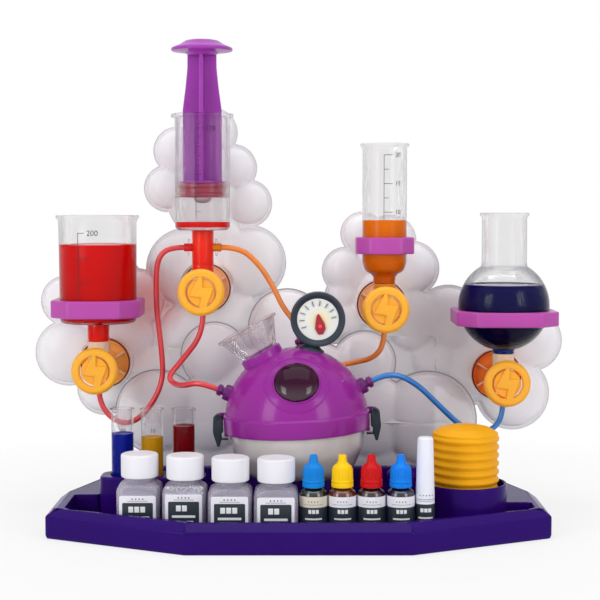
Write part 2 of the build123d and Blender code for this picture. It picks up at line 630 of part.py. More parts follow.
with BuildPart() as reactor_lid:
    inner = REACTOR_RADIUS - LID_WALL
    step_radius, step_low, step_high = 50.5, -0.5, 3.0
    with BuildSketch(REACTOR_PROFILE):
        with BuildLine():
            shoulder = sqrt(REACTOR_RADIUS**2 - (BAND_TOP + 1.2) ** 2)
            shoulder_angle = degrees(atan2(BAND_TOP + 1.2, shoulder))
            inner_high = sqrt(inner**2 - step_high**2)
            Polyline(
                (BOWL_RADIUS + 0.9, step_low),
                (BOWL_RADIUS + 0.9, BAND_BOTTOM),
                (BAND_RADIUS, BAND_BOTTOM),
                (BAND_RADIUS, BAND_TOP),
                (shoulder, BAND_TOP + 1.2),
            )
            CenterArc((0, 0), REACTOR_RADIUS, shoulder_angle, 90 - shoulder_angle)
            Line((0, REACTOR_RADIUS), (0, inner))
            CenterArc((0, 0), inner, 90, degrees(atan2(step_high, inner_high)) - 90)
            Polyline(
                (inner_high, step_high),
                (step_radius, step_high),
                (step_radius, step_low),
                (BOWL_RADIUS + 0.9, step_low),
            )
        make_face()
    revolve(axis=REACTOR_AXIS)
    # collar for the funnel
    with BuildSketch(across(FUNNEL_ANGLE, COLLAR_START)):
        Circle(COLLAR_RADIUS)
    extrude(amount=FUNNEL_BASE - 0.2 - COLLAR_START)
    with BuildSketch(across(FUNNEL_ANGLE, 40)):
        Circle(FUNNEL_BORE)
    extrude(amount=30, mode=Mode.SUBTRACT)
    # hole for the window lens
    window_way = Vector(0, -cos(radians(WINDOW_ELEVATION)), sin(radians(WINDOW_ELEVATION)))
    window_plane = Plane(origin=CENTRE, x_dir=(1, 0, 0), z_dir=window_way)
    with BuildSketch(window_plane.offset(40)):
        Circle(WINDOW_RADIUS)
    extrude(amount=30, mode=Mode.SUBTRACT)
    # holes for the hose fittings
    for name in FITTINGS:
        with BuildSketch(fitting_plane(name).offset(-12)):
            Circle(SPOUT_RADIUS + 0.1)
        extrude(amount=16, mode=Mode.SUBTRACT)
    # an ear behind each latch, and the pin that stands forward from it through the latch
    for side in (-1, 1):
        ear = Plane(origin=CENTRE + Vector(0, 4.3, 0), x_dir=REACTOR_RIGHT, z_dir=(0, -1, 0))
        with BuildSketch(ear):
            with Locations((side * 59.2, LATCH_PIVOT[1])):
                Rectangle(5.2, 5.4)
            with Locations((side * LATCH_PIVOT[0], LATCH_PIVOT[1])):
                Circle(2.7)
        extrude(amount=-3)
        pin = Plane(origin=CENTRE + Vector(0, 5, 0), x_dir=REACTOR_RIGHT, z_dir=(0, -1, 0))
        with BuildSketch(pin):
            with Locations((side * LATCH_PIVOT[0], LATCH_PIVOT[1])):
                Circle(LATCH_PIN)
        extrude(amount=8.4)
finish(reactor_lid, "reactor_lid")

with BuildPart() as reactor_bowl:
    bowl_wall, bowl_low = 2.2, -56.6
    inner_bowl = BOWL_RADIUS - bowl_wall
    with BuildSketch(REACTOR_PROFILE):
        with BuildLine():
            Polyline(
                (inner_bowl, BAND_BOTTOM),
                (inner_bowl, -2.1),
                (BOWL_RADIUS, -2.1),
                (BOWL_RADIUS, BAND_BOTTOM),
            )
            ThreePointArc((BOWL_RADIUS, BAND_BOTTOM), (51.4, -24.4), (43.4, -39.5))
            crown_arc(43.4, -39.5, bowl_low)
            Line((0, bowl_low), (0, bowl_low + bowl_wall))
            crown_arc(41.6, -38.3, bowl_low + bowl_wall)
            ThreePointArc((41.6, -38.3), (49.2, -24), (inner_bowl, BAND_BOTTOM))
        make_face()
    revolve(axis=REACTOR_AXIS)
    # lugs that the latches hook under
    for side in (-1, 1):
        lug = Plane(origin=CENTRE + Vector(0, -3, 0), x_dir=REACTOR_RIGHT, z_dir=(0, -1, 0))
        with BuildSketch(lug):
            with Locations((side * 55.2, -10.0)):
                Rectangle(4.6, 3)
        extrude(amount=-6)
finish(reactor_bowl, "reactor_bowl")

with BuildPart() as window_lens:
    lens_radius, lens_crown = WINDOW_RADIUS - 0.1, 62.0
    rim_height = sqrt(inner**2 - WINDOW_RADIUS**2) + 0.4
    with BuildSketch(Plane(origin=CENTRE, x_dir=(1, 0, 0), z_dir=window_plane.y_dir * -1)):
        with BuildLine():
            Polyline((0, rim_height), (lens_radius, rim_height), (lens_radius, rim_height + 3.4))
            crown_arc(lens_radius, rim_height + 3.4, lens_crown)
            Line((0, lens_crown), (0, rim_height))
        make_face()
    revolve(axis=Axis(CENTRE, window_way))
finish(window_lens, "window_lens")

with BuildPart() as funnel:
    funnel_wall = 1.4
    with BuildSketch(radial_profile(FUNNEL_ANGLE)):
        with BuildLine():
            Polyline(
                (FUNNEL_BORE - 0.3 - funnel_wall, 51),
                (FUNNEL_BORE - 0.3, 51),
                (FUNNEL_BORE - 0.3, FUNNEL_BASE),
                (FUNNEL_BASE_RADIUS, FUNNEL_BASE),
                (FUNNEL_RIM_RADIUS - 2.2, FUNNEL_RIM - 2.4),
                (FUNNEL_RIM_RADIUS, FUNNEL_RIM - 1.8),
                (FUNNEL_RIM_RADIUS, FUNNEL_RIM),
                (FUNNEL_RIM_RADIUS - 2.6, FUNNEL_RIM),
                (FUNNEL_BASE_RADIUS - funnel_wall, FUNNEL_BASE + 1.6),
                (FUNNEL_BORE - 0.3 - funnel_wall, FUNNEL_BASE),
                close=True,
            )
        make_face()
    revolve(axis=Axis(CENTRE, radial(FUNNEL_ANGLE)))
finish(funnel, "funnel")

# solid ball that fills the dome, to shape the feet of what is fixed on it
with BuildPart() as dome_core:
    core_radius = REACTOR_RADIUS + 0.05
    with BuildSketch(REACTOR_PROFILE):
        with BuildLine():
            Line((0, -core_radius), (0, core_radius))
            ThreePointArc((0, core_radius), (core_radius, 0), (0, -core_radius))
        make_face()
    revolve(axis=REACTOR_AXIS)

with BuildPart() as hose_fittings:
    for name in FITTINGS:
        seat = fitting_plane(name)
        with BuildSketch(seat.offset(-4)):
            Circle(6.4)
        extrude(amount=7.2)
        with BuildSketch(seat.offset(-2)):
            RegularPolygon(4.6, 6)
        extrude(amount=FITTING_REACH + 2)
    add(dome_core.part, mode=Mode.SUBTRACT)
    for name in FITTINGS:
        with BuildSketch(fitting_plane(name).offset(-5)):
            Circle(SPOUT_RADIUS)
        extrude(amount=7)
        with BuildSketch(fitting_plane(name).offset(-5)):
            Circle(1.3)
        extrude(amount=FITTING_REACH + 5, mode=Mode.SUBTRACT)
finish(hose_fittings, "hose_fittings")


# down the lever's inner side, round the hook and out to its thumb tip
LATCH_OUTLINE = [
    (58.4, 3.4),
    (58.4, -8.0),
    (59.8, -8.6),
    (59.8, -13.0),
    (54.4, -13.0),
    (54.4, -14.8),
    (60.6, -14.8),
    (63.2, -19.2),
    (64.6, -18.6),
]


def latch(side):
    """Lever that hangs from the lid's pin and hooks under the bowl's lug."""
    plane = Plane(origin=CENTRE + Vector(0, 4, 0), x_dir=REACTOR_RIGHT, z_dir=(0, -1, 0))
    with BuildPart() as lever:
        with BuildSketch(plane):
            with BuildLine():
                Polyline(*[(side * x, z) for x, z in LATCH_OUTLINE])
                ThreePointArc((side * 64.6, -18.6), (side * 66.6, -6.6), (side * 64.9, 5.8))
                ThreePointArc((side * 64.9, 5.8), (side * 61.6, 7.0), (side * 58.4, 3.4))
            make_face()
            with Locations((side * LATCH_PIVOT[0], LATCH_PIVOT[1])):
                Circle(LATCH_PIN + RUNNING_CLEARANCE, mode=Mode.SUBTRACT)
        extrude(amount=8)
    return lever


finish(latch(-1), "latch_left")
finish(latch(1), "latch_right")

# ------------------------------------------------------------------ pressure gauge
GAUGE_FRONT, GAUGE_BACK = 105.0, 119.0
DIAL_DEPTH = 108.0
GAUGE_LIP = 2.9
NECK_START = 56.0
NEEDLE_PIVOT = Vector(17.0, back(DIAL_DEPTH), 155.4)


def gauge_face(depth):
    return facing(GAUGE_CENTRE.X, depth, GAUGE_CENTRE.Z)


with BuildPart() as gauge_case:
    with BuildSketch(gauge_face(GAUGE_FRONT)):
        Circle(GAUGE_RADIUS)
    extrude(amount=-(GAUGE_BACK - GAUGE_FRONT))
    fillet(gauge_case.edges(), radius=1.6)
    with BuildSketch(gauge_face(GAUGE_FRONT)):
        Circle(GAUGE_RADIUS - GAUGE_LIP)
    extrude(amount=-(DIAL_DEPTH - GAUGE_FRONT + 1.2), mode=Mode.SUBTRACT)
    # neck and saddle that sit on the dome
    with BuildSketch(across(GAUGE_ANGLE, 52)):
        Circle(10.4)
    extrude(amount=7.2)
    with BuildSketch(across(GAUGE_ANGLE, NECK_START)):
        Circle(5.4)
    extrude(amount=GAUGE_DISTANCE - GAUGE_RADIUS - NECK_START + 3)
    add(dome_core.part, mode=Mode.SUBTRACT)
finish(gauge_case, "gauge_case")

with BuildPart() as gauge_dial:
    with BuildSketch(gauge_face(DIAL_DEPTH)):
        Circle(GAUGE_RADIUS - GAUGE_LIP - 0.1)
    extrude(amount=-1.2)
    # pin that the needle turns on
    with BuildSketch(Plane(origin=NEEDLE_PIVOT, x_dir=(1, 0, 0), z_dir=(0, -1, 0))):
        Circle(1.0)
    extrude(amount=1.6)
finish(gauge_dial, "gauge_dial")

with BuildPart() as gauge_needle:
    needle_plane = Plane(origin=NEEDLE_PIVOT + Vector(0, -0.4, 0), x_dir=(1, 0, 0), z_dir=(0, -1, 0))
    with BuildSketch(needle_plane):
        with BuildLine():
            Polyline((1.6, -6.4), (3.6, 0.6), (-2.6, 10.4), (-3.0, 1.4), close=True)
        make_face()
        Circle(3.0)
        Circle(1.0 + RUNNING_CLEARANCE, mode=Mode.SUBTRACT)
    extrude(amount=1.1)
finish(gauge_needle, "gauge_needle")

# ------------------------------------------------------------------ air pump
FOLD_PITCH = 6.3
FOLD_START = 37.4
DOME_EDGE = 71.5
with BuildPart() as bellows_pump:
    fold_wall = 1.6
    with BuildSketch(upright(CUP_X, CUP_DEPTH)):
        with BuildLine():
            outer = [(0, FLOOR_TOP), (BELLOWS_RADIUS - 1, FLOOR_TOP), (BELLOWS_RADIUS - 1, FOLD_START - 3)]
            for fold in range(BELLOWS_FOLDS):
                groove = FOLD_START + fold * FOLD_PITCH
                outer.append((BELLOWS_RADIUS - 2.2, groove))
                outer.append((BELLOWS_RADIUS, groove + 1.6))
                outer.append((BELLOWS_RADIUS, min(groove + FOLD_PITCH - 1.6, DOME_EDGE)))
            Polyline(*outer)
            crown_radius, crown_low = BELLOWS_RADIUS - 8, DOME_EDGE + 6.8
            ThreePointArc(
                outer[-1], (BELLOWS_RADIUS - 2.4, DOME_EDGE + 3.8), (crown_radius, crown_low)
            )
            crown_arc(crown_radius, crown_low, BELLOWS_TOP)
            Line((0, BELLOWS_TOP), (0, FLOOR_TOP))
        make_face()
    revolve(axis=vertical(CUP_X, CUP_DEPTH))
    with BuildSketch(Plane.XY.offset(FLOOR_TOP + fold_wall)):
        with Locations((CUP_X, back(CUP_DEPTH))):
            Circle(BELLOWS_RADIUS - 2.2 - fold_wall)
    extrude(amount=DOME_EDGE - FLOOR_TOP - fold_wall, mode=Mode.SUBTRACT)
finish(bellows_pump, "bellows_pump")


# ------------------------------------------------------------------ test tubes
def test_tube(x):
    wall = 1.1
    with BuildPart() as tube:
        with BuildSketch(upright(x, RACK_DEPTH)):
            with BuildLine():
                shoulder = TUBE_BOTTOM + TUBE_RADIUS
                ThreePointArc(
                    (0, TUBE_BOTTOM),
                    (TUBE_RADIUS * sin(pi / 4), shoulder - TUBE_RADIUS * cos(pi / 4)),
                    (TUBE_RADIUS, shoulder),
                )
                Polyline(
                    (TUBE_RADIUS, shoulder),
                    (TUBE_RADIUS, TUBE_TOP - 2.4),
                    (TUBE_RIM_RADIUS, TUBE_TOP - 1.8),
                    (TUBE_RIM_RADIUS, TUBE_TOP),
                    (TUBE_RADIUS - wall, TUBE_TOP),
                    (TUBE_RADIUS - wall, shoulder),
                )
                inner_radius = TUBE_RADIUS - wall
                ThreePointArc(
                    (inner_radius, shoulder),
                    (inner_radius * sin(pi / 4), shoulder - inner_radius * cos(pi / 4)),
                    (0, shoulder - inner_radius),
                )
                Line((0, shoulder - inner_radius), (0, TUBE_BOTTOM))
            make_face()
        revolve(axis=vertical(x, RACK_DEPTH))
    return tube


for number, tube_x in enumerate(TUBE_XS, start=1):
    finish(test_tube(tube_x), f"test_tube_{number}")

# ------------------------------------------------------------------ powder bottles
SQUARE_SHOULDER, SQUARE_NECK_TOP = 44.0, 61.0
SQUARE_NECK, SQUARE_CAP = 11.4, 13.95
SQUARE_CAP_LOW, SQUARE_CAP_TOP = 47.0, 64.4
SQUARE_WALL = 1.3


def square_bottle(x, depth):
    axis = (x, back(depth))
    with BuildPart() as bottle:
        with BuildSketch(Plane.XY.offset(FLOOR_TOP)):
            with Locations(axis):
                RectangleRounded(SQUARE_WIDTH, SQUARE_WIDTH, 4.6)
        extrude(amount=SQUARE_SHOULDER - FLOOR_TOP)
        fillet(bottle.faces().sort_by(Axis.Z)[-1].edges(), radius=3.4)
        with BuildSketch(Plane.XY.offset(SQUARE_SHOULDER)):
            with Locations(axis):
                Circle(SQUARE_NECK)
        extrude(amount=SQUARE_NECK_TOP - SQUARE_SHOULDER)
        with BuildSketch(Plane.XY.offset(FLOOR_TOP + SQUARE_WALL)):
            with Locations(axis):
                RectangleRounded(SQUARE_WIDTH - 2 * SQUARE_WALL, SQUARE_WIDTH - 2 * SQUARE_WALL, 3.3)
        extrude(amount=SQUARE_SHOULDER - FLOOR_TOP - 5.4, mode=Mode.SUBTRACT)
        with BuildSketch(Plane.XY.offset(FLOOR_TOP + 20)):
            with Locations(axis):
                Circle(SQUARE_NECK - 1.5)
        extrude(amount=SQUARE_NECK_TOP, mode=Mode.SUBTRACT)
    return bottle


def square_cap(x, depth):
    with BuildPart() as cap:
        with BuildSketch(upright(x, depth)):
            with BuildLine():
                Polyline(
                    (SQUARE_NECK + 0.4, SQUARE_CAP_LOW),
                    (SQUARE_CAP, SQUARE_CAP_LOW),
                    (SQUARE_CAP, SQUARE_CAP_TOP - 1),
                    (SQUARE_CAP - 1, SQUARE_CAP_TOP),
                    (0, SQUARE_CAP_TOP),
                    (0, SQUARE_NECK_TOP + 0.3),
                    (SQUARE_NECK + 0.4, SQUARE_NECK_TOP + 0.3),
                    close=True,
                )
            make_face()
        revolve(axis=vertical(x, depth))
    return cap


for number, (bottle_x, bottle_depth) in enumerate(SQUARE_BOTTLES, start=1):
    finish(square_bottle(bottle_x, bottle_depth), f"powder_bottle_{number}")
    finish(square_cap(bottle_x, bottle_depth), f"powder_cap_{number}")

# ------------------------------------------------------------------ dropper bottles
DROPPER_SHOULDER, DROPPER_NECK_TOP, DROPPER_NECK = 41.8, 54.0, 5.6
DROPPER_CAP, DROPPER_CAP_LOW = 8.2, 43.2


def dropper_bottle(x):
    wall = 1.0
    with BuildPart() as bottle:
        with BuildSketch(upright(x, DROPPER_DEPTH)):
            with BuildLine():
                Polyline(
                    (0, FLOOR_TOP),
                    (DROPPER_RADIUS - 0.8, FLOOR_TOP),
                    (DROPPER_RADIUS, FLOOR_TOP + 0.8),
                    (DROPPER_RADIUS, DROPPER_SHOULDER - 3.6),
                    (DROPPER_RADIUS - 3.0, DROPPER_SHOULDER),
                    (DROPPER_NECK, DROPPER_SHOULDER + 0.6),
                    (DROPPER_NECK, DROPPER_NECK_TOP),
                    (DROPPER_NECK - 1.6, DROPPER_NECK_TOP),
                    (DROPPER_NECK - 1.6, DROPPER_SHOULDER - 0.6),
                    (DROPPER_RADIUS - 3.8, DROPPER_SHOULDER - 1.4),
                    (DROPPER_RADIUS - wall, DROPPER_SHOULDER - 4.4),
                    (DROPPER_RADIUS - wall, FLOOR_TOP + 1.2),
                    (0, FLOOR_TOP + 1.2),
                    close=True,
                )
            make_face()
        revolve(axis=vertical(x, DROPPER_DEPTH))
    return bottle


def dropper_cap(x):
    low = DROPPER_CAP_LOW
    with BuildPart() as cap:
        with BuildSketch(upright(x, DROPPER_DEPTH)):
            with BuildLine():
                Polyline(
                    (DROPPER_NECK + 0.4, low),
                    (DROPPER_CAP, low),
                    (DROPPER_CAP, low + 2.8),
                    (DROPPER_CAP - 0.5, low + 3.2),
                    (DROPPER_CAP, low + 3.6),
                    (DROPPER_CAP, low + 5.0),
                    (DROPPER_CAP - 0.6, low + 5.6),
                    (DROPPER_CAP - 0.8, low + 14.0),
                    (3.4, low + 19.4),
                    (2.9, low + 23.4),
                    (2.3, low + 23.8),
                    (0, low + 23.8),
                    (0, DROPPER_NECK_TOP + 0.3),
                    (DROPPER_NECK + 0.4, DROPPER_NECK_TOP + 0.3),
                    close=True,
                )
            make_face()
        revolve(axis=vertical(x, DROPPER_DEPTH))
    return cap


for number, bottle_x in enumerate(DROPPER_XS, start=1):
    finish(dropper_bottle(bottle_x), f"dropper_bottle_{number}")
    finish(dropper_cap(bottle_x), f"dropper_cap_{number}")

# ------------------------------------------------------------------ glue bottle
GLUE_SHOULDER, GLUE_NECK, GLUE_NECK_TOP = 33.0, 4.4, 46.0
with BuildPart() as glue_bottle:
    with BuildSketch(upright(GLUE_X, DROPPER_DEPTH)):
        with BuildLine():
            Polyline(
                (0, FLOOR_TOP),
                (GLUE_RADIUS, FLOOR_TOP),
                (GLUE_RADIUS, GLUE_SHOULDER),
                (GLUE_NECK, GLUE_SHOULDER),
                (GLUE_NECK, GLUE_NECK_TOP),
                (GLUE_NECK - 1.4, GLUE_NECK_TOP),
                (GLUE_NECK - 1.4, GLUE_SHOULDER - 1),
                (GLUE_RADIUS - 1, GLUE_SHOULDER - 1.2),
                (GLUE_RADIUS - 1, FLOOR_TOP + 1),
                (0, FLOOR_TOP + 1),
                close=True,
            )
        make_face()
    revolve(axis=vertical(GLUE_X, DROPPER_DEPTH))
finish(glue_bottle, "glue_bottle")

with BuildPart() as glue_cap:
    with BuildSketch(upright(GLUE_X, DROPPER_DEPTH)):
        with BuildLine():
            Polyline(
                (GLUE_NECK + 0.4, GLUE_SHOULDER + 0.3),
                (GLUE_RADIUS, GLUE_SHOULDER + 0.3),
                (5.6, GLUE_TOP - 0.8),
                (4.8, GLUE_TOP),
                (0, GLUE_TOP),
                (0, GLUE_NECK_TOP + 0.4),
                (GLUE_NECK + 0.4, GLUE_NECK_TOP + 0.4),
                close=True,
            )
        make_face()
    revolve(axis=vertical(GLUE_X, DROPPER_DEPTH))
finish(glue_cap, "glue_cap")


# ------------------------------------------------------------------ cloud panels
# each lobe: x, z and radius of its outline, and how far it stands out of the sheet
LEFT_LOBES = [
    (-165.9, 94.5, 22.9, 9),
    (-195.6, 125.1, 28.4, 13),
    (-197.3, 169.2, 21.5, 11),
    (-163.0, 177.0, 34.0, 12),
    (-150.0, 139.5, 30.0, 9),
    (-138.0, 170.0, 27.0, 10),
    (-102.2, 295.8, 20.4, 12),
    (-110.7, 264.3, 20.0, 11),
    (-94.6, 196.4, 34.8, 14),
    (-72.5, 311.0, 21.2, 12),
    (-55.5, 281.3, 20.4, 12),
    (-42.8, 251.6, 20.4, 12),
    (-42.8, 201.5, 32.3, 14),
    (-79.3, 254.2, 32.0, 11),
    (-88.0, 140.0, 34.0, 9),
    (-126.0, 106.0, 27.0, 8),
    (-56.0, 152.0, 30.0, 9),
    (-62.0, 228.0, 16.0, 8),
    (-80.0, 288.0, 12.0, 6),
]
RIGHT_LOBES = [
    (54.0, 226.1, 18.7, 11),
    (40.0, 194.7, 20.4, 12),
    (95.6, 196.4, 23.8, 13),
    (77.8, 220.2, 22.0, 10),
    (43.8, 154.0, 18.7, 10),
    (73.5, 166.0, 34.0, 9),
    (99.0, 152.3, 28.9, 11),
    (127.0, 152.3, 30.6, 11),
    (162.7, 150.0, 34.0, 10),
    (197.7, 135.3, 26.3, 12),
    (182.2, 90.3, 31.4, 12),
    (145.7, 112.0, 28.9, 9),
    (30.0, 152.0, 20.0, 9),
    (38.0, 174.0, 16.0, 9),
    (118.0, 120.0, 24.0, 9),
    (150.0, 98.0, 18.0, 8),
    (62.0, 204.0, 16.0, 8),
]
FRONT_LOBES = [
    (-118.6, 76.4, 36.0, 12),
    (-70.8, 124.2, 28.5, 10),
    (-9.6, 147.7, 33.0, 10),
    (55.0, 118.3, 27.0, 10),
    (108.7, 69.7, 41.5, 13),
    (-40.0, 92.0, 40.0, 8),
    (14.0, 96.0, 40.0, 8),
    (-76.0, 74.0, 34.0, 8),
    (62.0, 72.0, 36.0, 9),
]


def cloud_panel(lobes, depth, foot, foot_top, discs=(), plates=()):
    """Vacuum-formed sheet: a flange round a row of domes, with flat pads where things are screwed on."""
    front = depth - SHEET
    with BuildPart() as panel:
        with BuildSketch(facing(0, front, 0)):
            for x, z, radius, height in lobes:
                with Locations((x, z)):
                    Circle(radius)
            with Locations(((foot[0] + foot[1]) / 2, (SLOT_BOTTOM + foot_top) / 2)):
                Rectangle(foot[1] - foot[0], foot_top - SLOT_BOTTOM)
        extrude(amount=-SHEET)
        # the domes, then the hollows behind them: base depth, rim radius and height of each
        swells = []
        for x, z, radius, height in lobes:
            swells.append((x, z, front, radius - FLANGE, height, Mode.ADD))
        for x, z, radius, height in lobes:
            ball = dome_sphere(radius - FLANGE, height) - SHEET
            rise = height + 0.1
            hollow_radius = sqrt(ball**2 - (ball - rise) ** 2)
            swells.append((x, z, depth + 0.1, hollow_radius, rise, Mode.SUBTRACT))
        for x, z, base, radius, height, mode in swells:
            profile = Plane(origin=(x, back(base), z), x_dir=(1, 0, 0), z_dir=(0, 0, -1))
            with BuildSketch(profile):
                with BuildLine():
                    crown_arc(radius, 0, height)
                    Polyline((0, height), (0, -0.2), (radius, -0.2), (radius, 0))
                make_face()
            revolve(axis=Axis((x, back(base), z), (0, -1, 0)), mode=mode)
        # flat pads: everything in front of a pad is cleared, then the pad stands on the sheet
        for x, z in discs:
            with BuildSketch(facing(x, PAD_DEPTH - 30, z)):
                Circle(DISH_RADIUS + 1.4)
            extrude(amount=-30, mode=Mode.SUBTRACT)
            with BuildSketch(facing(x, PAD_DEPTH, z)):
                Circle(DISH_RADIUS + 1.8)
            extrude(amount=-SHEET)
            with BuildSketch(facing(x, PAD_DEPTH, z)):
                Circle(DISH_RADIUS + 1.8)
                Circle(DISH_RADIUS - 0.2, mode=Mode.SUBTRACT)
            extrude(amount=-(depth - PAD_DEPTH))
        for x, z in plates:
            with BuildSketch(facing(x, PAD_DEPTH - 30, z)):
                Rectangle(PLATE_SIZE[0] - 0.8, PLATE_SIZE[1] - 0.8)
            extrude(amount=-30, mode=Mode.SUBTRACT)
            with BuildSketch(facing(x, PAD_DEPTH, z)):
                Rectangle(*PLATE_SIZE)
            extrude(amount=-(depth - PAD_DEPTH))
    return panel


rear_cloud_left = cloud_panel(
    LEFT_LOBES,
    REAR_PANEL,
    (-REAR_SLOT[1], -REAR_SLOT[0]),
    130,
    discs=[(BEAKER_X, BEAKER_VALVE_Z), (SYRINGE_X, SYRINGE_VALVE_Z)],
    plates=[(BEAKER_X, 167.3)],
)
finish(rear_cloud_left, "rear_cloud_left")
rear_cloud_right = cloud_panel(
    RIGHT_LOBES,
    REAR_PANEL,
    REAR_SLOT,
    140,
    discs=[(CYLINDER_X, CYLINDER_VALVE_Z), (FLASK_X, FLASK_VALVE_Z)],
    plates=[(CYLINDER_X, 217.7), (FLASK_X, 159.8)],
)
finish(rear_cloud_right, "rear_cloud_right")
front_cloud = cloud_panel(
    FRONT_LOBES, FRONT_PANEL, (-FRONT_SLOT_HALF_WIDTH, FRONT_SLOT_HALF_WIDTH), 68
)
finish(front_cloud, "front_cloud")


# ------------------------------------------------------------------ hoses
def outlet(x, z):
    return Vector(x, back(VESSEL_DEPTH), z - OUTLET_DROP)


def fitting_tip(name):
    seat, way = FITTINGS[name]
    return CENTRE + seat * REACTOR_RADIUS + way * FITTING_REACH


def tee_port(side):
    return Vector(SYRINGE_X + side * PORT_REACH, back(VESSEL_DEPTH), PORT_Z)


def lead(name, length):
    """Point straight out of a fitting, this far beyond its tip."""
    return fitting_tip(name) + FITTINGS[name][1] * length


ROUTES = {
    "hose_beaker": [
        outlet(BEAKER_X, BEAKER_VALVE_Z),
        Vector(BEAKER_X, back(150), 87),
        Vector(-146, back(151), 71),
        Vector(-128, back(152), 76),
        Vector(-110.3, back(154), 104),
        Vector(-111.8, back(155), 133),
        Vector(-115.5, back(154), 163),
        Vector(-115.8, back(152), 190),
        Vector(-114, back(150.5), 207.2),
        Vector(-105.2, back(150), PORT_Z),
        tee_port(-1),
    ],
    "hose_syringe": [
        outlet(SYRINGE_X, SYRINGE_VALVE_Z),
        Vector(SYRINGE_X, back(150), 146),
        Vector(-95, back(144), 124),
        Vector(-105.5, back(138), 112),
        Vector(-99.5, back(133.5), 106.5),
        Vector(-91, back(122), 107),
        lead("left", 15),
        fitting_tip("left"),
    ],
    "hose_vapour": [
        tee_port(1),
        Vector(-47.5, back(150), PORT_Z),
        Vector(-33, back(150), 203.5),
        Vector(-21.5, back(148.5), 186.5),
        Vector(-12.5, back(147), 167),
        lead("top", 14),
        fitting_tip("top"),
    ],
    "hose_cylinder": [
        outlet(CYLINDER_X, CYLINDER_VALVE_Z),
        Vector(CYLINDER_X, back(150), 136.5),
        Vector(60.5, back(152.2), 125.5),
        lead("rear", 13),
        fitting_tip("rear"),
    ],
    "hose_flask": [
        fitting_tip("right"),
        lead("right", 15.4),
        Vector(93, back(121), 109.5),
        Vector(113, back(129.5), 89.5),
        Vector(131, back(137), 72),
        Vector(146, back(142.5), 65.5),
        Vector(159.5, back(147.5), 68.5),
        Vector(FLASK_X, back(150), 79.5),
        outlet(FLASK_X, FLASK_VALVE_Z),
    ],
}


def bend_radii(points):
    """Largest fillet at each corner that leaves a tenth of its shorter run straight."""
    radii = []
    for before, corner, after in zip(points, points[1:], points[2:]):
        first, second = corner - before, after - corner
        turn = radians(first.get_angle(second))
        radii.append(0.45 * min(first.length, second.length) / tan(turn / 2))
    return radii


for name, points in ROUTES.items():
    radii = bend_radii(points)
    with BuildPart() as hose:
        with BuildLine() as route:
            FilletPolyline(*points, radius=radii)
        with BuildSketch(Plane(origin=points[0], z_dir=points[1] - points[0])):
            Circle(HOSE_DIAMETER / 2)
        sweep(path=route.wires()[0])
    expected = pi * HOSE_DIAMETER**2 / 4 * route.wires()[0].length
    runs = [(b - a).length for a, b in zip(points, points[1:])]
    print(name, "radii", [round(r, 1) for r in radii])
    print(name, "runs", [round(run, 1) for run in runs])
    print(name, "volume", round(hose.part.volume, 1), "section times length", round(expected, 1))
    finish(hose, name)
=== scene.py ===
import json
from math import atan2, cos, degrees, hypot, pi, radians, sin, sqrt

import bmesh
import bpy
from mathutils import Matrix, Vector
from mathutils.geometry import delaunay_2d_cdt, tessellate_polygon

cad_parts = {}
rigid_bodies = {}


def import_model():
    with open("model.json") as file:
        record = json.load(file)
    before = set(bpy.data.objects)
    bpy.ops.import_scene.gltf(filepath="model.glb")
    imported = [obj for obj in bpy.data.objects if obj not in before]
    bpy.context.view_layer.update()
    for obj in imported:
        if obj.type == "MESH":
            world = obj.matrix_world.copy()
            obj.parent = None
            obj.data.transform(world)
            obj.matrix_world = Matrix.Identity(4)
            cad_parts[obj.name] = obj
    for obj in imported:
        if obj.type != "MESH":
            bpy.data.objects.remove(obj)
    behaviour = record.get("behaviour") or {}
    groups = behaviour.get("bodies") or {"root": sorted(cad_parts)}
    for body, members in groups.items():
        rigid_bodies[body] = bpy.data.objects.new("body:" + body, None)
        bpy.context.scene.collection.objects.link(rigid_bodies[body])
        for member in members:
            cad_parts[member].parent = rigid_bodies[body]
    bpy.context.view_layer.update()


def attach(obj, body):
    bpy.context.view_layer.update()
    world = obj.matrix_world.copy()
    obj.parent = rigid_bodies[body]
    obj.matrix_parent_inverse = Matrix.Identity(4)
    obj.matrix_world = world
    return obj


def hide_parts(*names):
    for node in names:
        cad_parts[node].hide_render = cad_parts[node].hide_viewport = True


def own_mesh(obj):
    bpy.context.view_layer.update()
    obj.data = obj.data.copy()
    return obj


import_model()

MM, HALF_DEPTH = 0.001, 108.0


# ---- places, in millimetres: X from the middle, depth from the tray's front edge
def back(depth):
    """Y of a place this many millimetres behind the tray's front edge."""
    return depth - HALF_DEPTH


BEAKER_X, SYRINGE_X, CYLINDER_X, FLASK_X, VESSEL_DEPTH = -162.5, -77.5, 69.5, 166.5, 150.0
DOME_X, DOME_DEPTH, DOME_RADIUS = -1.5, 113.0, 56.7
CENTRE = Vector((DOME_X, back(DOME_DEPTH), 81.8))
TUBE_XS, RACK_DEPTH = (-137.4, -114.3, -89.6), 100.0
PUMP_X, PUMP_DEPTH = 128.0, 80.0
BOTTLES = [(-119.2, 56.0), (-84.5, 49.0), (-50.3, 41.0), (-16.4, 38.0)]
ROW_DEPTH = 35.0


# ---- camera
def linked(name, data):
    """A new object in the scene."""
    thing = bpy.data.objects.new(name, data)
    bpy.context.collection.objects.link(thing)
    return thing


CAMERA_DISTANCE, CAMERA_TILT, FOCAL_LENGTH = 1005.16, 3.744, 85.62
camera_lens = bpy.data.cameras.new("camera")
camera_lens.lens, camera_lens.clip_start = FOCAL_LENGTH, 0.02
camera = linked("camera", camera_lens)
camera.location = (0.00117, back(-CAMERA_DISTANCE) * MM, 0.24897)
camera.rotation_euler = (radians(90 - CAMERA_TILT), 0, 0)
bpy.context.scene.camera = camera
bpy.context.scene.view_settings.view_transform = "Standard"


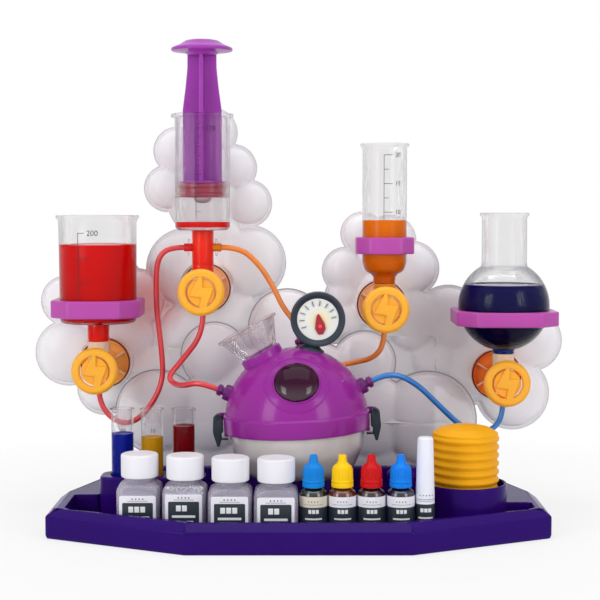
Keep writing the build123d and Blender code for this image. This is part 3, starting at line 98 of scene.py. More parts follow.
# ---- finishes
def linear(code):
    """Linear colour of a hex code."""
    parts = [int(code[i : i + 2], 16) / 255 for i in (1, 3, 5)]
    return [p / 12.92 if p <= 0.04045 else ((p + 0.055) / 1.055) ** 2.4 for p in parts] + [1.0]


def tinted(colour, share):
    """A colour made lighter (share above 1) or darker."""
    return [min(c * share, 1.0) for c in colour[:3]] + [1.0]


class Value:
    """An output of a node; arithmetic on it adds Math nodes."""

    def __init__(self, finish, socket):
        self.finish, self.socket = finish, socket

    def __add__(self, other):
        return self.finish.maths("ADD", self, other)

    __radd__ = __add__

    def __sub__(self, other):
        return self.finish.maths("SUBTRACT", self, other)

    def __rsub__(self, other):
        return self.finish.maths("SUBTRACT", other, self)

    def __mul__(self, other):
        return self.finish.maths("MULTIPLY", self, other)

    __rmul__ = __mul__

    def __truediv__(self, other):
        return self.finish.maths("DIVIDE", self, other)


class Nodes:
    """A node tree; every node in it is made by one method."""

    def node(self, kind, settings=(), inputs=()):
        made = self.tree.nodes.new(kind)
        for key, value in dict(settings).items():
            setattr(made, key, value)
        for key, value in dict(inputs).items():
            self.feed(made.inputs[key], value)
        return [Value(self, socket) for socket in made.outputs]

    def feed(self, socket, value):
        if isinstance(value, Value):
            self.tree.links.new(value.socket, socket)
        else:
            socket.default_value = value


class Finish(Nodes):
    """A material: its shader's constants, and the nodes that feed it."""

    def __init__(self, name, slot=None, **constants):
        self.slot = slot or name
        self.material = bpy.data.materials.new(name)
        self.material.use_nodes = True
        self.tree = self.material.node_tree
        self.shader = self.tree.nodes["Principled BSDF"]
        for key, value in constants.items():
            self.shader.inputs[key.replace("_", " ")].default_value = value
        self.place = self.node("ShaderNodeTexCoord")[3]

    def maths(self, operation, *terms, clamp=False):
        settings = {"operation": operation, "use_clamp": clamp}
        return self.node("ShaderNodeMath", settings, dict(enumerate(terms)))[0]

    def noise(self, scale, detail=2.0, roughness=0.5, stretch=(1, 1, 1), distortion=0.0):
        """Noise over the piece, whose grain is 1 / scale metres."""
        place = self.place
        if stretch != (1, 1, 1):
            place = self.node("ShaderNodeMapping", {}, {"Vector": place, "Scale": stretch})[0]
        inputs = {"Vector": place, "Scale": scale, "Detail": detail, "Roughness": roughness}
        return self.node("ShaderNodeTexNoise", {}, {**inputs, "Distortion": distortion})[0]

    def spread(self, value, low, high, to_low=0.0, to_high=1.0):
        inputs = {0: value, 1: low, 2: high, 3: to_low, 4: to_high}
        return self.node("ShaderNodeMapRange", {"clamp": True}, inputs)[0]

    def mix(self, factor, first, second, blend="MIX"):
        settings = {"data_type": "RGBA", "blend_type": blend}
        return self.node("ShaderNodeMix", settings, {0: factor, 6: first, 7: second})[2]

    def near(self, centre, radius, soft):
        """1 inside a ball (millimetres), falling to 0 over its soft edge."""
        ends = {0: self.place, 1: [c * MM for c in centre]}
        offset = self.node("ShaderNodeVectorMath", {"operation": "DISTANCE"}, ends)[1]
        return self.spread(offset, radius * MM, (radius + soft) * MM, 1.0, 0.0)

    def height(self):
        """Height of the point over the table, in metres."""
        return self.node("ShaderNodeSeparateXYZ", {}, {0: self.place})[2]

    def set(self, **links):
        for key, value in links.items():
            self.feed(self.shader.inputs[key.replace("_", " ")], value)
        return self

    def bump(self, relief, strength, distance):
        """Raises the skin by a value from 0 to 1, over this many millimetres."""
        inputs = {"Strength": strength, "Distance": distance * MM, "Height": relief}
        return self.set(Normal=self.node("ShaderNodeBump", {}, inputs)[0])


def moulded(name, code, roughness=0.3, coat=0.12, tone=0.07, skin=0.12, grain=1100, wear=0.1, shine=0.28,
            slot=None):
    """Injection-moulded plastic: faint flow tones, a fine skin, and gloss that handling has dulled."""
    finish = Finish(name, slot, Coat_Roughness=0.09, IOR=1.5, Specular_IOR_Level=shine)
    colour = linear(code)
    flow = finish.spread(finish.noise(16, detail=3, distortion=0.8), 0.3, 0.7)
    streak = finish.noise(60, detail=2, stretch=(1, 1, 0.25))
    shade = finish.mix(flow, tinted(colour, 1 - tone), tinted(colour, 1 + tone))
    shade = finish.mix(finish.spread(streak, 0.45, 0.8, 0, 0.18), shade, tinted(colour, 1.18))
    smears = finish.noise(150, detail=4, roughness=0.65)
    finish.set(
        Base_Color=shade,
        Roughness=roughness + (smears - 0.5) * 2 * wear,
        Coat_Weight=finish.spread(smears, 0.3, 0.7, coat, coat * 0.7),
    )
    relief = finish.noise(grain, detail=2) * 0.7 + finish.noise(grain / 8, detail=2) * 0.3
    return finish.bump(relief, skin, 0.05)


def clear(name, code="#e6e1e3", roughness=0.03, ior=1.46, haze=0.02, veil=0.16, edge="#6f6772", milk=0.0):
    """Clear plastic with a moulded wall's faint ripple and hairline scuffs, smokier where it turns away."""
    finish = Finish(name, "clear_plastic", Transmission_Weight=1 - milk, IOR=ior, Specular_IOR_Level=0.14)
    colour = linear(code)
    turn = finish.node("ShaderNodeLayerWeight", {}, {"Blend": 0.4})[1]
    ripple = finish.noise(45, detail=2, stretch=(1, 1, 0.3))
    scuffs = finish.noise(420, detail=5, roughness=0.7, stretch=(1, 1, 3))
    body = finish.mix(ripple, tinted(colour, 0.97), colour)
    finish.set(
        Base_Color=finish.mix(finish.spread(turn, 0.45, 0.9), body, linear(edge)),
        Roughness=finish.spread(scuffs, 0.52, 0.74, roughness, roughness + haze) + turn * 0.2,
        Alpha=finish.spread(turn, 0.34, 0.84, veil, 0.97),
    )
    return finish.bump(ripple, 0.05, 0.1)


def liquid(name, shaded_colour, bright, low, high, transmission=0.1):
    """Coloured liquid with painted shade, darker towards the bottom of its vessel (heights in millimetres).
    """
    finish = Finish(name, Transmission_Weight=transmission, IOR=1.33, Coat_Roughness=0.03)
    finish.shader.inputs["Specular IOR Level"].default_value = 0.08
    # painted shade: the liquid runs from its shaded colour low in the vessel to its bright colour near the
    # top
    level = finish.spread(finish.height(), low * MM, high * MM)
    swirl = finish.noise(32, detail=2, distortion=1.2)
    level = finish.maths("ADD", level, (swirl - 0.5) * 0.5, clamp=True)
    fine = finish.noise(240, detail=2)
    finish.set(
        Base_Color=finish.mix(level, linear(shaded_colour), linear(bright)),
        Roughness=0.03 + fine * 0.05,
        Coat_Weight=fine * 0.03,
    )
    return finish.bump(swirl, 0.04, 0.2)


def hose_skin(name, code):
    """Soft tube: a faint run of lighter and darker patches under a smooth, slightly dusty skin."""
    finish = Finish(name, IOR=1.45, Coat_Roughness=0.12, Subsurface_Weight=0.15, Subsurface_Scale=0.003)
    colour = linear(code)
    run = finish.noise(38, detail=2)
    dust = finish.noise(700, detail=4, roughness=0.7)
    shade = finish.mix(finish.spread(run, 0.3, 0.7), tinted(colour, 0.88), tinted(colour, 1.12))
    finish.set(Base_Color=shade, Roughness=0.24 + dust * 0.16, Coat_Weight=0.3 + run * 0.3)
    return finish.bump(dust, 0.1, 0.04)


def paper(name, code, mottle=0.05, gloss=0.42):
    """Printed label film: fine paper grain and a little ink mottle."""
    finish = Finish(name, IOR=1.45)
    colour = linear(code)
    fibre = finish.noise(1900, detail=3, stretch=(1, 1, 0.4))
    ink = finish.noise(260, detail=3)
    shade = finish.mix(ink, tinted(colour, 1 - mottle), tinted(colour, 1 + mottle))
    finish.set(Base_Color=shade, Roughness=gloss + (fibre - 0.5) * 0.2)
    return finish.bump(fibre, 0.12, 0.03)


TRAY_PURPLE = moulded("tray_purple", "#2c0868", 0.24, coat=0.04, tone=0.08, skin=0.05, wear=0.05,
                      shine=0.06)
LID_PURPLE = moulded("lid_purple", "#922492", 0.24, coat=0.2, tone=0.05, wear=0.06, shine=0.14)
FITTING_PURPLE = moulded("fitting_purple", "#6c1c70", slot="lid_purple")
RING_PURPLE = moulded("ring_purple", "#b54ba4", 0.34, shine=0.2)
PLUNGER_PURPLE = moulded("plunger_purple", "#a23cac", 0.3, coat=0.15, shine=0.2)
WHEEL_ORANGE = moulded("wheel_orange", "#fcb232", 0.36, coat=0.1, tone=0.04)
# Lit and shaded copies of one orange valve plastic: each valve's colour is painted lighter or darker for the
# light and shade at its place.
VALVE_LIT_CODES = {"beaker": "#ffb862", "syringe": "#ffc79c", "cylinder": "#ffc79c", "flask": "#ff8838"}
VALVE_LIT_TONES = {
    cock: moulded("valve_orange_lit_" + cock, code, tone=0.04, slot="valve_red")
    for cock, code in VALVE_LIT_CODES.items()
}
# painted highlight: the dish's ribs are a lighter orange than the dish, for the light lines they catch
VALVE_RIB_HIGHLIGHT = moulded("valve_rib_highlight", "#ffd6a6", 0.3, coat=0.1)
VALVE_EDGE = moulded("valve_edge", "#6a1c22", 0.35)
BELLOWS_YELLOW = moulded("bellows_yellow", "#f4ac12", 0.48, coat=0.03, tone=0.05, skin=0.2, grain=800,
                         shine=0.15)
SLATE = moulded("slate", "#2c3641", 0.38, coat=0.1, tone=0.1, shine=0.25)
CAP_WHITE = moulded("cap_white", "#ecebf0", 0.42, coat=0.05, tone=0.02)
GLUE_WHITE = moulded("glue_white", "#eaebf6", 0.38, coat=0.1, tone=0.02)
SEAL_RUBBER = moulded("seal_rubber", "#a03850", 0.35, coat=0.1, skin=0.2, slot="seal_black")
NEEDLE_RED = moulded("needle_red", "#a8243a", 0.35)
PIVOT_RED = moulded("pivot_red", "#f04a4a", 0.25, coat=0.5)
MARK_BLACK = paper("mark_black", "#222228", gloss=0.5)
LABEL_WHITE = paper("label_white", "#ecebf2")
LABEL_CREAM = paper("label_cream", "#ddd6c4")
LABEL_DARK = paper("label_dark", "#222c35", mottle=0.1)
LABEL_PRINT = paper("label_print", "#eef0f2")
CLEAR_VESSEL = clear("clear_vessel", "#aea8ac", veil=0.17, edge="#574f5b")
CLEAR_STEM = clear("clear_stem", "#f4e4dc", 0.05, veil=0.12, edge="#c88878")
STEM_CREAM = moulded("stem_cream", "#f4d8b8", 0.3, coat=0.1, tone=0.05)
CLEAR_FUNNEL = clear("clear_funnel", "#d8d2d8", 0.02, haze=0.01, veil=0.26, edge="#4c424a")
CLEAR_TUBE = clear("clear_tube", "#c8c5ce", veil=0.14, edge="#514b5a")
CLEAR_BOTTLE = clear("clear_bottle", "#e8e3f2", 0.12, haze=0.06, veil=0.55, edge="#a097b2", milk=0.35)
SEAL_TIP = clear("seal_tip", "#cdbcc4", 0.1, veil=0.4, edge="#4a3038")


def smoky_bowl():
    """Milky plastic of the bowl: pale where it faces the eye, smoky towards its edges."""
    finish = Finish("smoky_bowl", "clear_plastic", Transmission_Weight=0.3, IOR=1.45, Coat_Roughness=0.1)
    turn = finish.node("ShaderNodeLayerWeight", {}, {"Blend": 0.5})[1]
    cast = finish.noise(26, detail=3)
    pale = finish.mix(finish.spread(cast, 0.3, 0.7), linear("#f8f0f0"), linear("#fffaf4"))
    finish.set(
        Base_Color=finish.mix(finish.spread(turn, 0.35, 0.9), pale, linear("#a89ca8")),
        Roughness=0.16 + cast * 0.1,
        Coat_Weight=0.3 + cast * 0.2,
    )
    return finish.bump(cast, 0.05, 0.2)


SMOKY_BOWL = smoky_bowl()


def lens_glass():
    """Dark wine-red window."""
    finish = Finish("lens_dark", IOR=1.5, Specular_IOR_Level=0.1, Coat_Roughness=0.1)
    depth = finish.noise(30, detail=2)
    gloss = finish.spread(finish.height(), 108 * MM, 116 * MM, 1.0, 0.0)
    finish.set(
        Base_Color=finish.mix(depth, linear("#280820"), linear("#3c102e")),
        Coat_Weight=gloss,
        Roughness=0.06 + finish.noise(500, detail=3) * 0.05,
    )
    return finish.bump(depth, 0.03, 0.2)


LENS_DARK = lens_glass()


# ---- shapes
def upright(x, depth, z=0.0):
    return Matrix.Translation((x, back(depth), z))


def aimed(origin, way, right=(1, 0, 0)):
    """Place whose Z runs along a direction and whose X is as near `right` as it can be."""
    z = Vector(way).normalized()
    x = (Vector(right) - z * Vector(right).dot(z)).normalized()
    y = z.cross(x)
    place = Matrix((x, y, z)).transposed().to_4x4()
    place.translation = Vector(origin)
    return place


def facing(x, depth, z):
    """Place that faces the front: its X runs right, its Y up and its Z towards the front."""
    return aimed((x, back(depth), z), (0, -1, 0))


def raised(place, rise):
    """The same place, moved along its own Z."""
    return place @ Matrix.Translation((0, 0, rise))


def rounded(points, steps=4, closed=False):
    """A polyline of (x, y, corner radius), or (x, y) for a sharp corner, with its corners rounded."""
    count, line = len(points), []
    for i, (x, y, *corner) in enumerate(points):
        here, radius = Vector((x, y)), sum(corner)
        if radius <= 0 or (not closed and i in (0, count - 1)):
            line.append((x, y))
            continue
        before = Vector(points[i - 1][:2]) - here
        after = Vector(points[(i + 1) % count][:2]) - here
        turn = before.angle(after)
        reach = radius / max(sin(turn / 2) / max(cos(turn / 2), 1e-6), 1e-6)
        reach = min(reach, before.length * 0.49, after.length * 0.49)
        start, end = here + before.normalized() * reach, here + after.normalized() * reach
        for k in range(steps + 1):
            t = k / steps
            spot = start * (1 - t) ** 2 + here * 2 * t * (1 - t) + end * t**2
            line.append((spot.x, spot.y))
    return line


def oblong(x0, y0, x1, y1):
    """Outline of a rectangle."""
    return [(x0, y0), (x1, y0), (x1, y1), (x0, y1)]


def block(x0, y0, x1, y1, radius, steps=3):
    """Outline of a rectangle with rounded corners."""
    return rounded([(*corner, radius) for corner in oblong(x0, y0, x1, y1)], steps, True)


def arc(centre, radius, start, end, steps):
    """Points on an arc, from one angle to another in degrees."""
    angles = [radians(start + (end - start) * k / steps) for k in range(steps + 1)]
    return [(centre[0] + radius * cos(a), centre[1] + radius * sin(a)) for a in angles]


def circle(centre, radius, count=72):
    """Points of a whole circle."""
    return arc(centre, radius, 0, 360 - 360 / count, count - 1)


def turned(profile, place, steps=72, closed=False, flutes=None):
    """A profile (radius, height) turned about a place's Z; flutes are (count, depth, lowest, highest)."""
    points, rings, faces = [], [], []
    for radius, height in profile:
        if radius < 1e-4:
            rings.append([len(points)])
            points.append(place @ Vector((0, 0, height)))
            continue
        ring = []
        for k in range(steps):
            angle = 2 * pi * (k + 0.5) / steps
            reach = radius
            if flutes and flutes[2] <= height <= flutes[3]:
                reach += flutes[1] * cos(angle * flutes[0])
            ring.append(len(points))
            points.append(place @ Vector((reach * cos(angle), reach * sin(angle), height)))
        rings.append(ring)
    pairs = list(zip(rings, rings[1:])) + ([(rings[-1], rings[0])] if closed else [])
    for low, high in pairs:
        if len(low) == 1 and len(high) == 1:
            continue
        for k in range(steps):
            n = (k + 1) % steps
            if len(low) == 1:
                faces.append((low[0], high[n], high[k]))
            elif len(high) == 1:
                faces.append((low[k], low[n], high[0]))
            else:
                faces.append((low[k], low[n], high[n], high[k]))
    return points, faces


def plate(outlines, thickness, edge, place, steps=2):
    """A flat piece behind a place's front face: its first outline, less the others, with rounded edges."""
    curve = bpy.data.curves.new("outline", "CURVE")
    curve.dimensions, curve.fill_mode = "2D", "BOTH"
    curve.extrude, curve.bevel_depth, curve.offset = thickness / 2 - edge, edge, -edge
    curve.bevel_resolution = steps
    for outline in outlines:
        spline = curve.splines.new("POLY")
        spline.points.add(len(outline) - 1)
        for point, (x, y) in zip(spline.points, outline):
            point.co = (x, y, 0, 1)
        spline.use_cyclic_u = True
    return shell_of(linked("holder", curve), raised(place, -thickness / 2))


def shell_of(holder, place):
    """Points and faces that an object evaluates to, set in place; the object is removed."""
    mesh = bpy.data.meshes.new_from_object(holder.evaluated_get(bpy.context.evaluated_depsgraph_get()))
    points = [place @ vertex.co for vertex in mesh.vertices]
    faces = [tuple(polygon.vertices) for polygon in mesh.polygons]
    bpy.data.batch_remove([holder, holder.data, mesh])
    return points, faces


def numerals(text, size, place, thickness=0.16):
    """Generic figures of a scale, centred on a place."""
    curve = bpy.data.curves.new("figures", "FONT")
    curve.body, curve.size, curve.extrude = text, size, thickness / 2
    curve.align_x, curve.align_y = "CENTER", "CENTER"
    curve.resolution_u = 3
    return shell_of(linked("holder", curve), place)


def wrapped(shell, axis_x, axis_depth, radius):
    """Bends a flat shell, drawn in the XZ plane through an upright axis, round that axis at this radius."""
    points, faces = shell
    bent = []
    for p in points:
        angle, reach = (p.x - axis_x) / radius, radius + (back(axis_depth) - p.y)
        bent.append(Vector((axis_x + reach * sin(angle), back(axis_depth) - reach * cos(angle), p.z)))
    return bent, faces


def band(x, depth, radius, low, high, start, end, thickness=0.12):
    """A thin curved patch on an upright cylinder, between two angles in degrees; 0 faces the front."""
    count = max(2, int(abs(end - start) / 5) + 1)
    points, faces = [], []
    for k in range(count + 1):
        angle = radians(start + (end - start) * k / count)
        for reach in (radius - 0.1, radius + thickness):
            for z in (low, high):
                points.append(Vector((x + reach * sin(angle), back(depth) - reach * cos(angle), z)))
    for k in range(count):
        a, b = 4 * k, 4 * k + 4
        faces += [(a + 2, b + 2, b + 3, a + 3), (a, a + 1, b + 1, b)]
        faces += [(a, b, b + 2, a + 2), (a + 1, a + 3, b + 3, b + 1)]
    last = 4 * count
    faces += [(0, 2, 3, 1), (last, last + 1, last + 3, last + 2)]
    return points, faces


def joined(rows, hoop=False):
    """Rings of equal length joined in turn; a hoop's last ring is joined to its first."""
    size, points = len(rows[0]), [Vector(p) for row in rows for p in row]
    faces = []
    for s in range(len(rows) if hoop else len(rows) - 1):
        t = (s + 1) % len(rows)
        for k in range(size):
            n = (k + 1) % size
            faces.append((s * size + k, s * size + n, t * size + n, t * size + k))
    return points, faces


def lofted(rows):
    """Rings of equal length joined in turn, with both ends closed."""
    (points, faces), size = joined(rows), len(rows[0])
    for start, turn in ((0, -1), ((len(rows) - 1) * size, 1)):
        centre = sum(points[start : start + size], Vector()) / size
        points.append(centre)
        for k in range(size):
            pair = (start + k, start + (k + 1) % size)
            faces.append((pair[::turn][0], pair[::turn][1], len(points) - 1))
    return points, faces


def box(x, y, z, edge=0.0):
    """A block between pairs of X, Y and Z, with rounded upright edges."""
    outline = block(x[0], y[0], x[1], y[1], edge)
    return plate([outline], z[1] - z[0], min(edge, 0.8), Matrix.Translation((0, 0, z[1])))


def made(name, shells, finish, body="stand", replaces=None, slotted=False, crease=32):
    """One piece from one or more shells in millimetres, with its finish, riding on a body."""
    shells = [shells] if isinstance(shells, tuple) else shells
    bm = bmesh.new()
    for points, faces in shells:
        vertices = [bm.verts.new(Vector(p) * MM) for p in points]
        for face in faces:
            if len(set(face)) == len(face):
                try:
                    bm.faces.new([vertices[i] for i in face])
                except ValueError:
                    pass
    bmesh.ops.remove_doubles(bm, verts=bm.verts, dist=2e-7)
    bmesh.ops.recalc_face_normals(bm, faces=bm.faces)
    for edge in bm.edges:
        edge.smooth = len(edge.link_faces) == 2 and edge.calc_face_angle(0) < radians(crease)
    for face in bm.faces:
        face.smooth = True
    mesh = bpy.data.meshes.new(name)
    bm.to_mesh(mesh)
    bm.free()
    mesh.materials.append(finish.material)
    piece = linked(name, mesh)
    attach(piece, body)
    if replaces:
        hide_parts(replaces)
    return piece


# ---- hoses
HOSE_DIAMETER = 4.5


def radial(angle):
    """Unit vector out of the dome's centre, this many degrees right of vertical."""
    return Vector((sin(radians(angle)), 0, cos(radians(angle))))


FITTINGS = {
    "left": (radial(-69.2), radial(-69.2)),
    "right": (radial(63.0), radial(63.0)),
    "top": (Vector((0.08, 0.42, 0.90)).normalized(), Vector((-0.22, 0.26, 0.94)).normalized()),
    "rear": (Vector((0.45, 0.62, 0.643)).normalized(), Vector((0.93, 0.33, 0.16)).normalized()),
}
FITTING_REACH = 10.3


def beyond(name, length=0.0):
    """A place straight out of a fitting, this far beyond its tip."""
    seat, way = FITTINGS[name]
    return CENTRE + seat * DOME_RADIUS + way * (FITTING_REACH + length)


def spot(x, depth, z):
    return Vector((x, back(depth), z))


def hose(name, slot, code, length, *route):
    """One hose, pushed on at both ends, along a route of (x, depth, height) and places beyond fittings."""
    route = [place if isinstance(place, Vector) else spot(*place) for place in route]
    curve = bpy.data.curves.new(name, "CURVE")
    curve.dimensions = "3D"
    curve.bevel_depth, curve.bevel_resolution = HOSE_DIAMETER / 2 * MM, 5
    curve.resolution_u, curve.use_fill_caps = 16, True
    spline = curve.splines.new("NURBS")
    spline.points.add(len(route) - 1)
    for point, place in zip(spline.points, route):
        point.co = (*(place * MM), 1)
    spline.order_u = 3
    spline.use_endpoint_u = True
    curve.materials.append(hose_skin(name + "_skin", code).material)
    piece = linked(name + "_run", curve)
    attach(piece, "stand")
    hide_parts(name)
    tuple(route[0] * MM)


hose("hose_beaker", "hose_red", "#d8323a", 212.7,
     (BEAKER_X, 150, 101), (BEAKER_X, 150, 87), (-146, 151, 71), (-128, 152, 76), (-110.3, 154, 104),
     (-111.8, 155, 133), (-115.5, 154, 163), (-115.8, 152, 190), (-114, 150.5, 207.2), (-105.2, 150, 216),
     (-92.7, 150, 216))
hose("hose_syringe", "hose_red", "#d8323a", 115.1,
     (SYRINGE_X, 150, 164), (SYRINGE_X, 150, 146), (-95, 144, 124), (-105.5, 138, 112), (-99.5, 133.5, 106.5),
     (-91, 122, 107), beyond("left", 15), beyond("left"))
hose("hose_vapour", "hose_orange", "#e8801f", 104.5,
     (-62.3, 150, 216), (-47.5, 150, 216), (-33, 150, 203.5), (-21.5, 148.5, 186.5), (-12.5, 147, 167),
     beyond("top", 14), beyond("top"))
hose("hose_cylinder", "hose_orange", "#e8801f", 55.3,
     (CYLINDER_X, 150, 150), (CYLINDER_X, 150, 136.5), (60.5, 152.2, 125.5), beyond("rear", 13),
     beyond("rear"))
hose("hose_flask", "hose_blue", "#1f78c8", 149.7,
     beyond("right"), beyond("right", 15.4), (93, 121, 109.5), (113, 129.5, 89.5), (131, 137, 72),
     (146, 142.5, 65.5), (159.5, 147.5, 68.5), (FLASK_X, 150, 79.5), (FLASK_X, 150, 91))


# ---- tray
TRAY_OUTLINE = [
    (82, -108, 4), (190.5, -55, 4), (190.5, 17, 4), (160, 108, 5),
    (-160, 108, 5), (-190.5, 17, 4), (-190.5, -55, 4), (-82, -108, 4),
]
RECESS = [
    (-72, 11, 4), (72, 11, 4), (172, 55, 5), (179, 62, 3), (179, 80, 4), (157, 80, 4),
    (157, 178, 2), (-157, 178, 2), (-157, 110, 4), (-177, 110, 4), (-177, 62, 3), (-172, 55, 5),
]


def inset(loop, amount):
    """A closed outline moved inwards (to its left) by an amount."""
    count, moved = len(loop), []
    for i, (x, y) in enumerate(loop):
        here = Vector((x, y))
        before = (here - Vector(loop[i - 1])).normalized()
        after = (Vector(loop[(i + 1) % count]) - here).normalized()
        normal = Vector((-before.y - after.y, before.x + after.x)).normalized()
        share = max(normal.dot(Vector((-before.y, before.x))), 0.3)
        moved.append(tuple(here + normal * amount / share))
    return moved


def walls(loop, profile):
    """Rows of a wall that follows a closed outline through (inset, height) steps."""
    return joined([[(x, y, height) for x, y in inset(loop, amount)] for amount, height in profile])


def floor_of(loops, height):
    """A level face inside the first outline, less the others."""
    rows = [[Vector((x, y, height)) for x, y in loop] for loop in loops]
    return [p for row in rows for p in row], [tuple(f) for f in tessellate_polygon(rows)]


def tray():
    """Rimmed moulding, the ridge that holds the cloud panels, the dome's and pump's seats, and a post."""
    outline = rounded(TRAY_OUTLINE, 5, True)
    recess = rounded([(x, back(depth), radius) for x, depth, radius in RECESS], 4, True)
    outer = [(2.6, 1.6), (2.2, 0, 0.4), (1, 0, 0.6), (0, 2.4, 1), (0, 16.5, 1.8), (7.7, 22, 1.4), (9.2, 22)]
    inner = [(-1.6, 22), (0, 22, 1.2), (0.7, 4, 1.6), (2.6, 4)]
    shells = [
        walls(outline, rounded(outer)),
        walls(recess, rounded(inner)),
        floor_of([inset(outline, 9.2), inset(recess, -1.6)], 22),
        floor_of([inset(recess, 2.6)], 4),
        floor_of([inset(outline, 2.6)], 1.6),
    ]
    made("tray_moulding", shells, TRAY_PURPLE, replaces="base_tray")
    slot_rows = [(-133.3, 133.3, 188.2, 190.2), (-116.3, -43.7, 204.2, 206.2), (43.7, 116.3, 204.2, 206.2)]
    ridge = block(-141, back(177.9), 141, back(210), 3, 4)
    slots = [oblong(a, back(c), b, back(d)) for a, b, c, d in slot_rows]
    made("cloud_ridge", plate([ridge, *slots], 17, 1.2, upright(0, 108, 31)), TRAY_PURPLE, slotted=True)
    cup = rounded([(29.6, 4), (29.6, 38, 1), (31.8, 38, 1), (31.8, 9.5, 1.5), (32.6, 8.2, 0.8), (32.6, 4)],
                  4)
    made("pump_cup", turned(cup, upright(PUMP_X, PUMP_DEPTH), 96), TRAY_PURPLE, slotted=True)
    seat = rounded([(37, 4), (37, 34.6, 1), (42, 39, 1), (43.4, 40.2, 0.6), (43.4, 4)], 3)
    made("bowl_seat", turned(seat, upright(DOME_X, DOME_DEPTH), 96), TRAY_PURPLE, slotted=True)
    post = rounded([(15.6, 4), (15, 8, 2), (15, 42, 4), (8, 46.6, 6), (0, 47)], 4)
    made("round_post", turned(post, upright(84, 100), 64), TRAY_PURPLE, slotted=True)


tray()


def rack():
    """Block with three holes beside the tray's left end."""
    x = (TUBE_XS[0] + TUBE_XS[2]) / 2
    outline = block(x - 41, back(RACK_DEPTH - 16), x + 41, back(RACK_DEPTH + 16), 12, 8)
    holes = [circle((tube_x, back(RACK_DEPTH)), 9.1, 48) for tube_x in TUBE_XS]
    made("rack_block", plate([outline, *holes], 36, 1.4, Matrix.Translation((0, 0, 40)), 3), TRAY_PURPLE,
         replaces="tube_rack")


rack()


# ---- vessels and what they hold
def vessel(name, x, wall, steps=96):
    made(name + "_wall", turned(wall, upright(x, VESSEL_DEPTH), steps, closed=True), CLEAR_VESSEL,
         replaces=name)


def spigot(bottom):
    return [(3, bottom - 6), (6.5, bottom - 6, 0.4), (6.5, bottom)]


def filling(name, x, profile, finish, steps=96, depth=VESSEL_DEPTH, body="stand"):
    made(name, turned(profile, upright(x, depth), steps), finish, body)


def scale(name, x, radius, ticks, line, figures, size, angle):
    """Printed strokes (height, angles, width), the line at their ends, and figures (piece, text, height)."""
    strokes = [band(x, VESSEL_DEPTH, radius + 0.05, z - wide / 2, z + wide / 2, a, b)
               for z, a, b, wide in ticks]
    made(name + "_marks", strokes, MARK_BLACK)
    made(name + "_line", band(x, VESSEL_DEPTH, radius, *line), MARK_BLACK)
    for piece, text, z in figures:
        flat = numerals(text, size, facing(x + radius * radians(angle), VESSEL_DEPTH, z))
        made(piece, wrapped(flat, x, VESSEL_DEPTH, radius), MARK_BLACK)


def beaker():
    x, low, top, level = BEAKER_X, 155.0, 242.0, 218.0
    wall = [(3, low + 1.7), *spigot(low), (30.8, low, 5), (30.8, low + 8), (31.4, top - 5, 2),
            (33.6, top - 1.4, 0.8), (33.4, top, 0.6), (31.6, top, 0.8), (29.7, top - 4, 2), (29.1, low + 8),
            (29.1, low + 1.7, 3.4)]
    vessel("beaker", x, rounded(wall, 5))
    fill = [(0, low - 5), (3.2, low - 5), (3.2, low + 1.6), (30.45, low + 1.6, 3.4),
            (30.9, level - 0.6), (30.9, level + 0.6), (30, level, 0.8), (0, level)]
    filling("beaker_fill", x, rounded(fill, 5), liquid("beaker_liquid", "#cc0408", "#e60c0c", low, level))
    ticks = [(228, -22, -12, 0.5), (208, -22, -4, 0.35), (189, -22, -4, 0.35)]
    scale("beaker", x, 31.4, ticks, (176, 228.2, -22.5, -21.7), [("beaker_figures", "200", 227.8)], 6.2, 0)


def barrel():
    x, low, top, level = SYRINGE_X, 230.0, 323.3, 236.0
    wall = [(3, low + 2.5), *spigot(low), (19.6, low, 1), (22.15, low + 2.5, 1), (22.15, top - 3.4, 1),
            (25.1, top - 2.6, 0.6), (25.1, top, 0.7), (20.45, top, 0.6), (20.45, low + 2.5, 1)]
    vessel("syringe_barrel", x, rounded(wall))
    fill = [(0, low + 2.4), (21.6, low + 2.4, 0.8), (21.75, level - 0.4), (21.75, level + 0.6),
            (20.9, level, 0.7), (0, level)]
    filling("syringe_fill", x, rounded(fill),
            liquid("syringe_liquid", "#d01014", "#f01a18", low - 28, level))
    ticks = [(311 - 7.3 * k, -9, 6 if k % 5 == 0 else 0, 0.35) for k in range(10)]
    scale("syringe", x, 22.15, ticks, (240, 311.2, -10.2, -9.2), [("syringe_figures", "100", 310.6)],
          5.8, 22)


def cylinder():
    x, low, top, level = CYLINDER_X, 187.0, 299.5, 237.0
    wall = [(3, low + 9), *spigot(low), (9, low, 0.6), (9, low + 5, 2), (11, low + 7.6, 2),
            (15.6, low + 10, 6), (17.9, low + 17, 6), (17.9, top - 4, 1.2), (19.8, top - 1.5, 0.7),
            (19.7, top, 0.6), (18.2, top, 0.7), (16.2, top - 3, 1.2), (16.2, low + 17.5, 6),
            (13.4, low + 11.6, 4), (8, low + 9.4, 2)]
    vessel("measuring_cylinder", x, rounded(wall, 5))
    fill = [(0, low + 0.2), (8.4, low + 0.2, 0.3), (8.6, low + 5.4, 2), (10.8, low + 8.4, 1.5),
            (15, low + 10.8, 5), (17.5, low + 17.6, 6), (17.5, level), (17.5, level + 1),
            (16.7, level + 0.3, 0.6), (0, level)]
    filling("cylinder_fill", x, rounded(fill, 5), liquid("cylinder_liquid", "#d85e00", "#fc8000", low, 240))
    ticks = [(290 - 11.37 * k, -5, 17 if k % 2 == 0 else 7, 0.45) for k in range(5)]
    figures = [("cylinder_figures_" + text, text, z)
               for text, z in (("20", 290), ("15", 267.3), ("10", 244.5))]
    scale("cylinder", x, 17.9, ticks, (238, 290.2, -5.6, -4.2), figures, 5.2, 33)


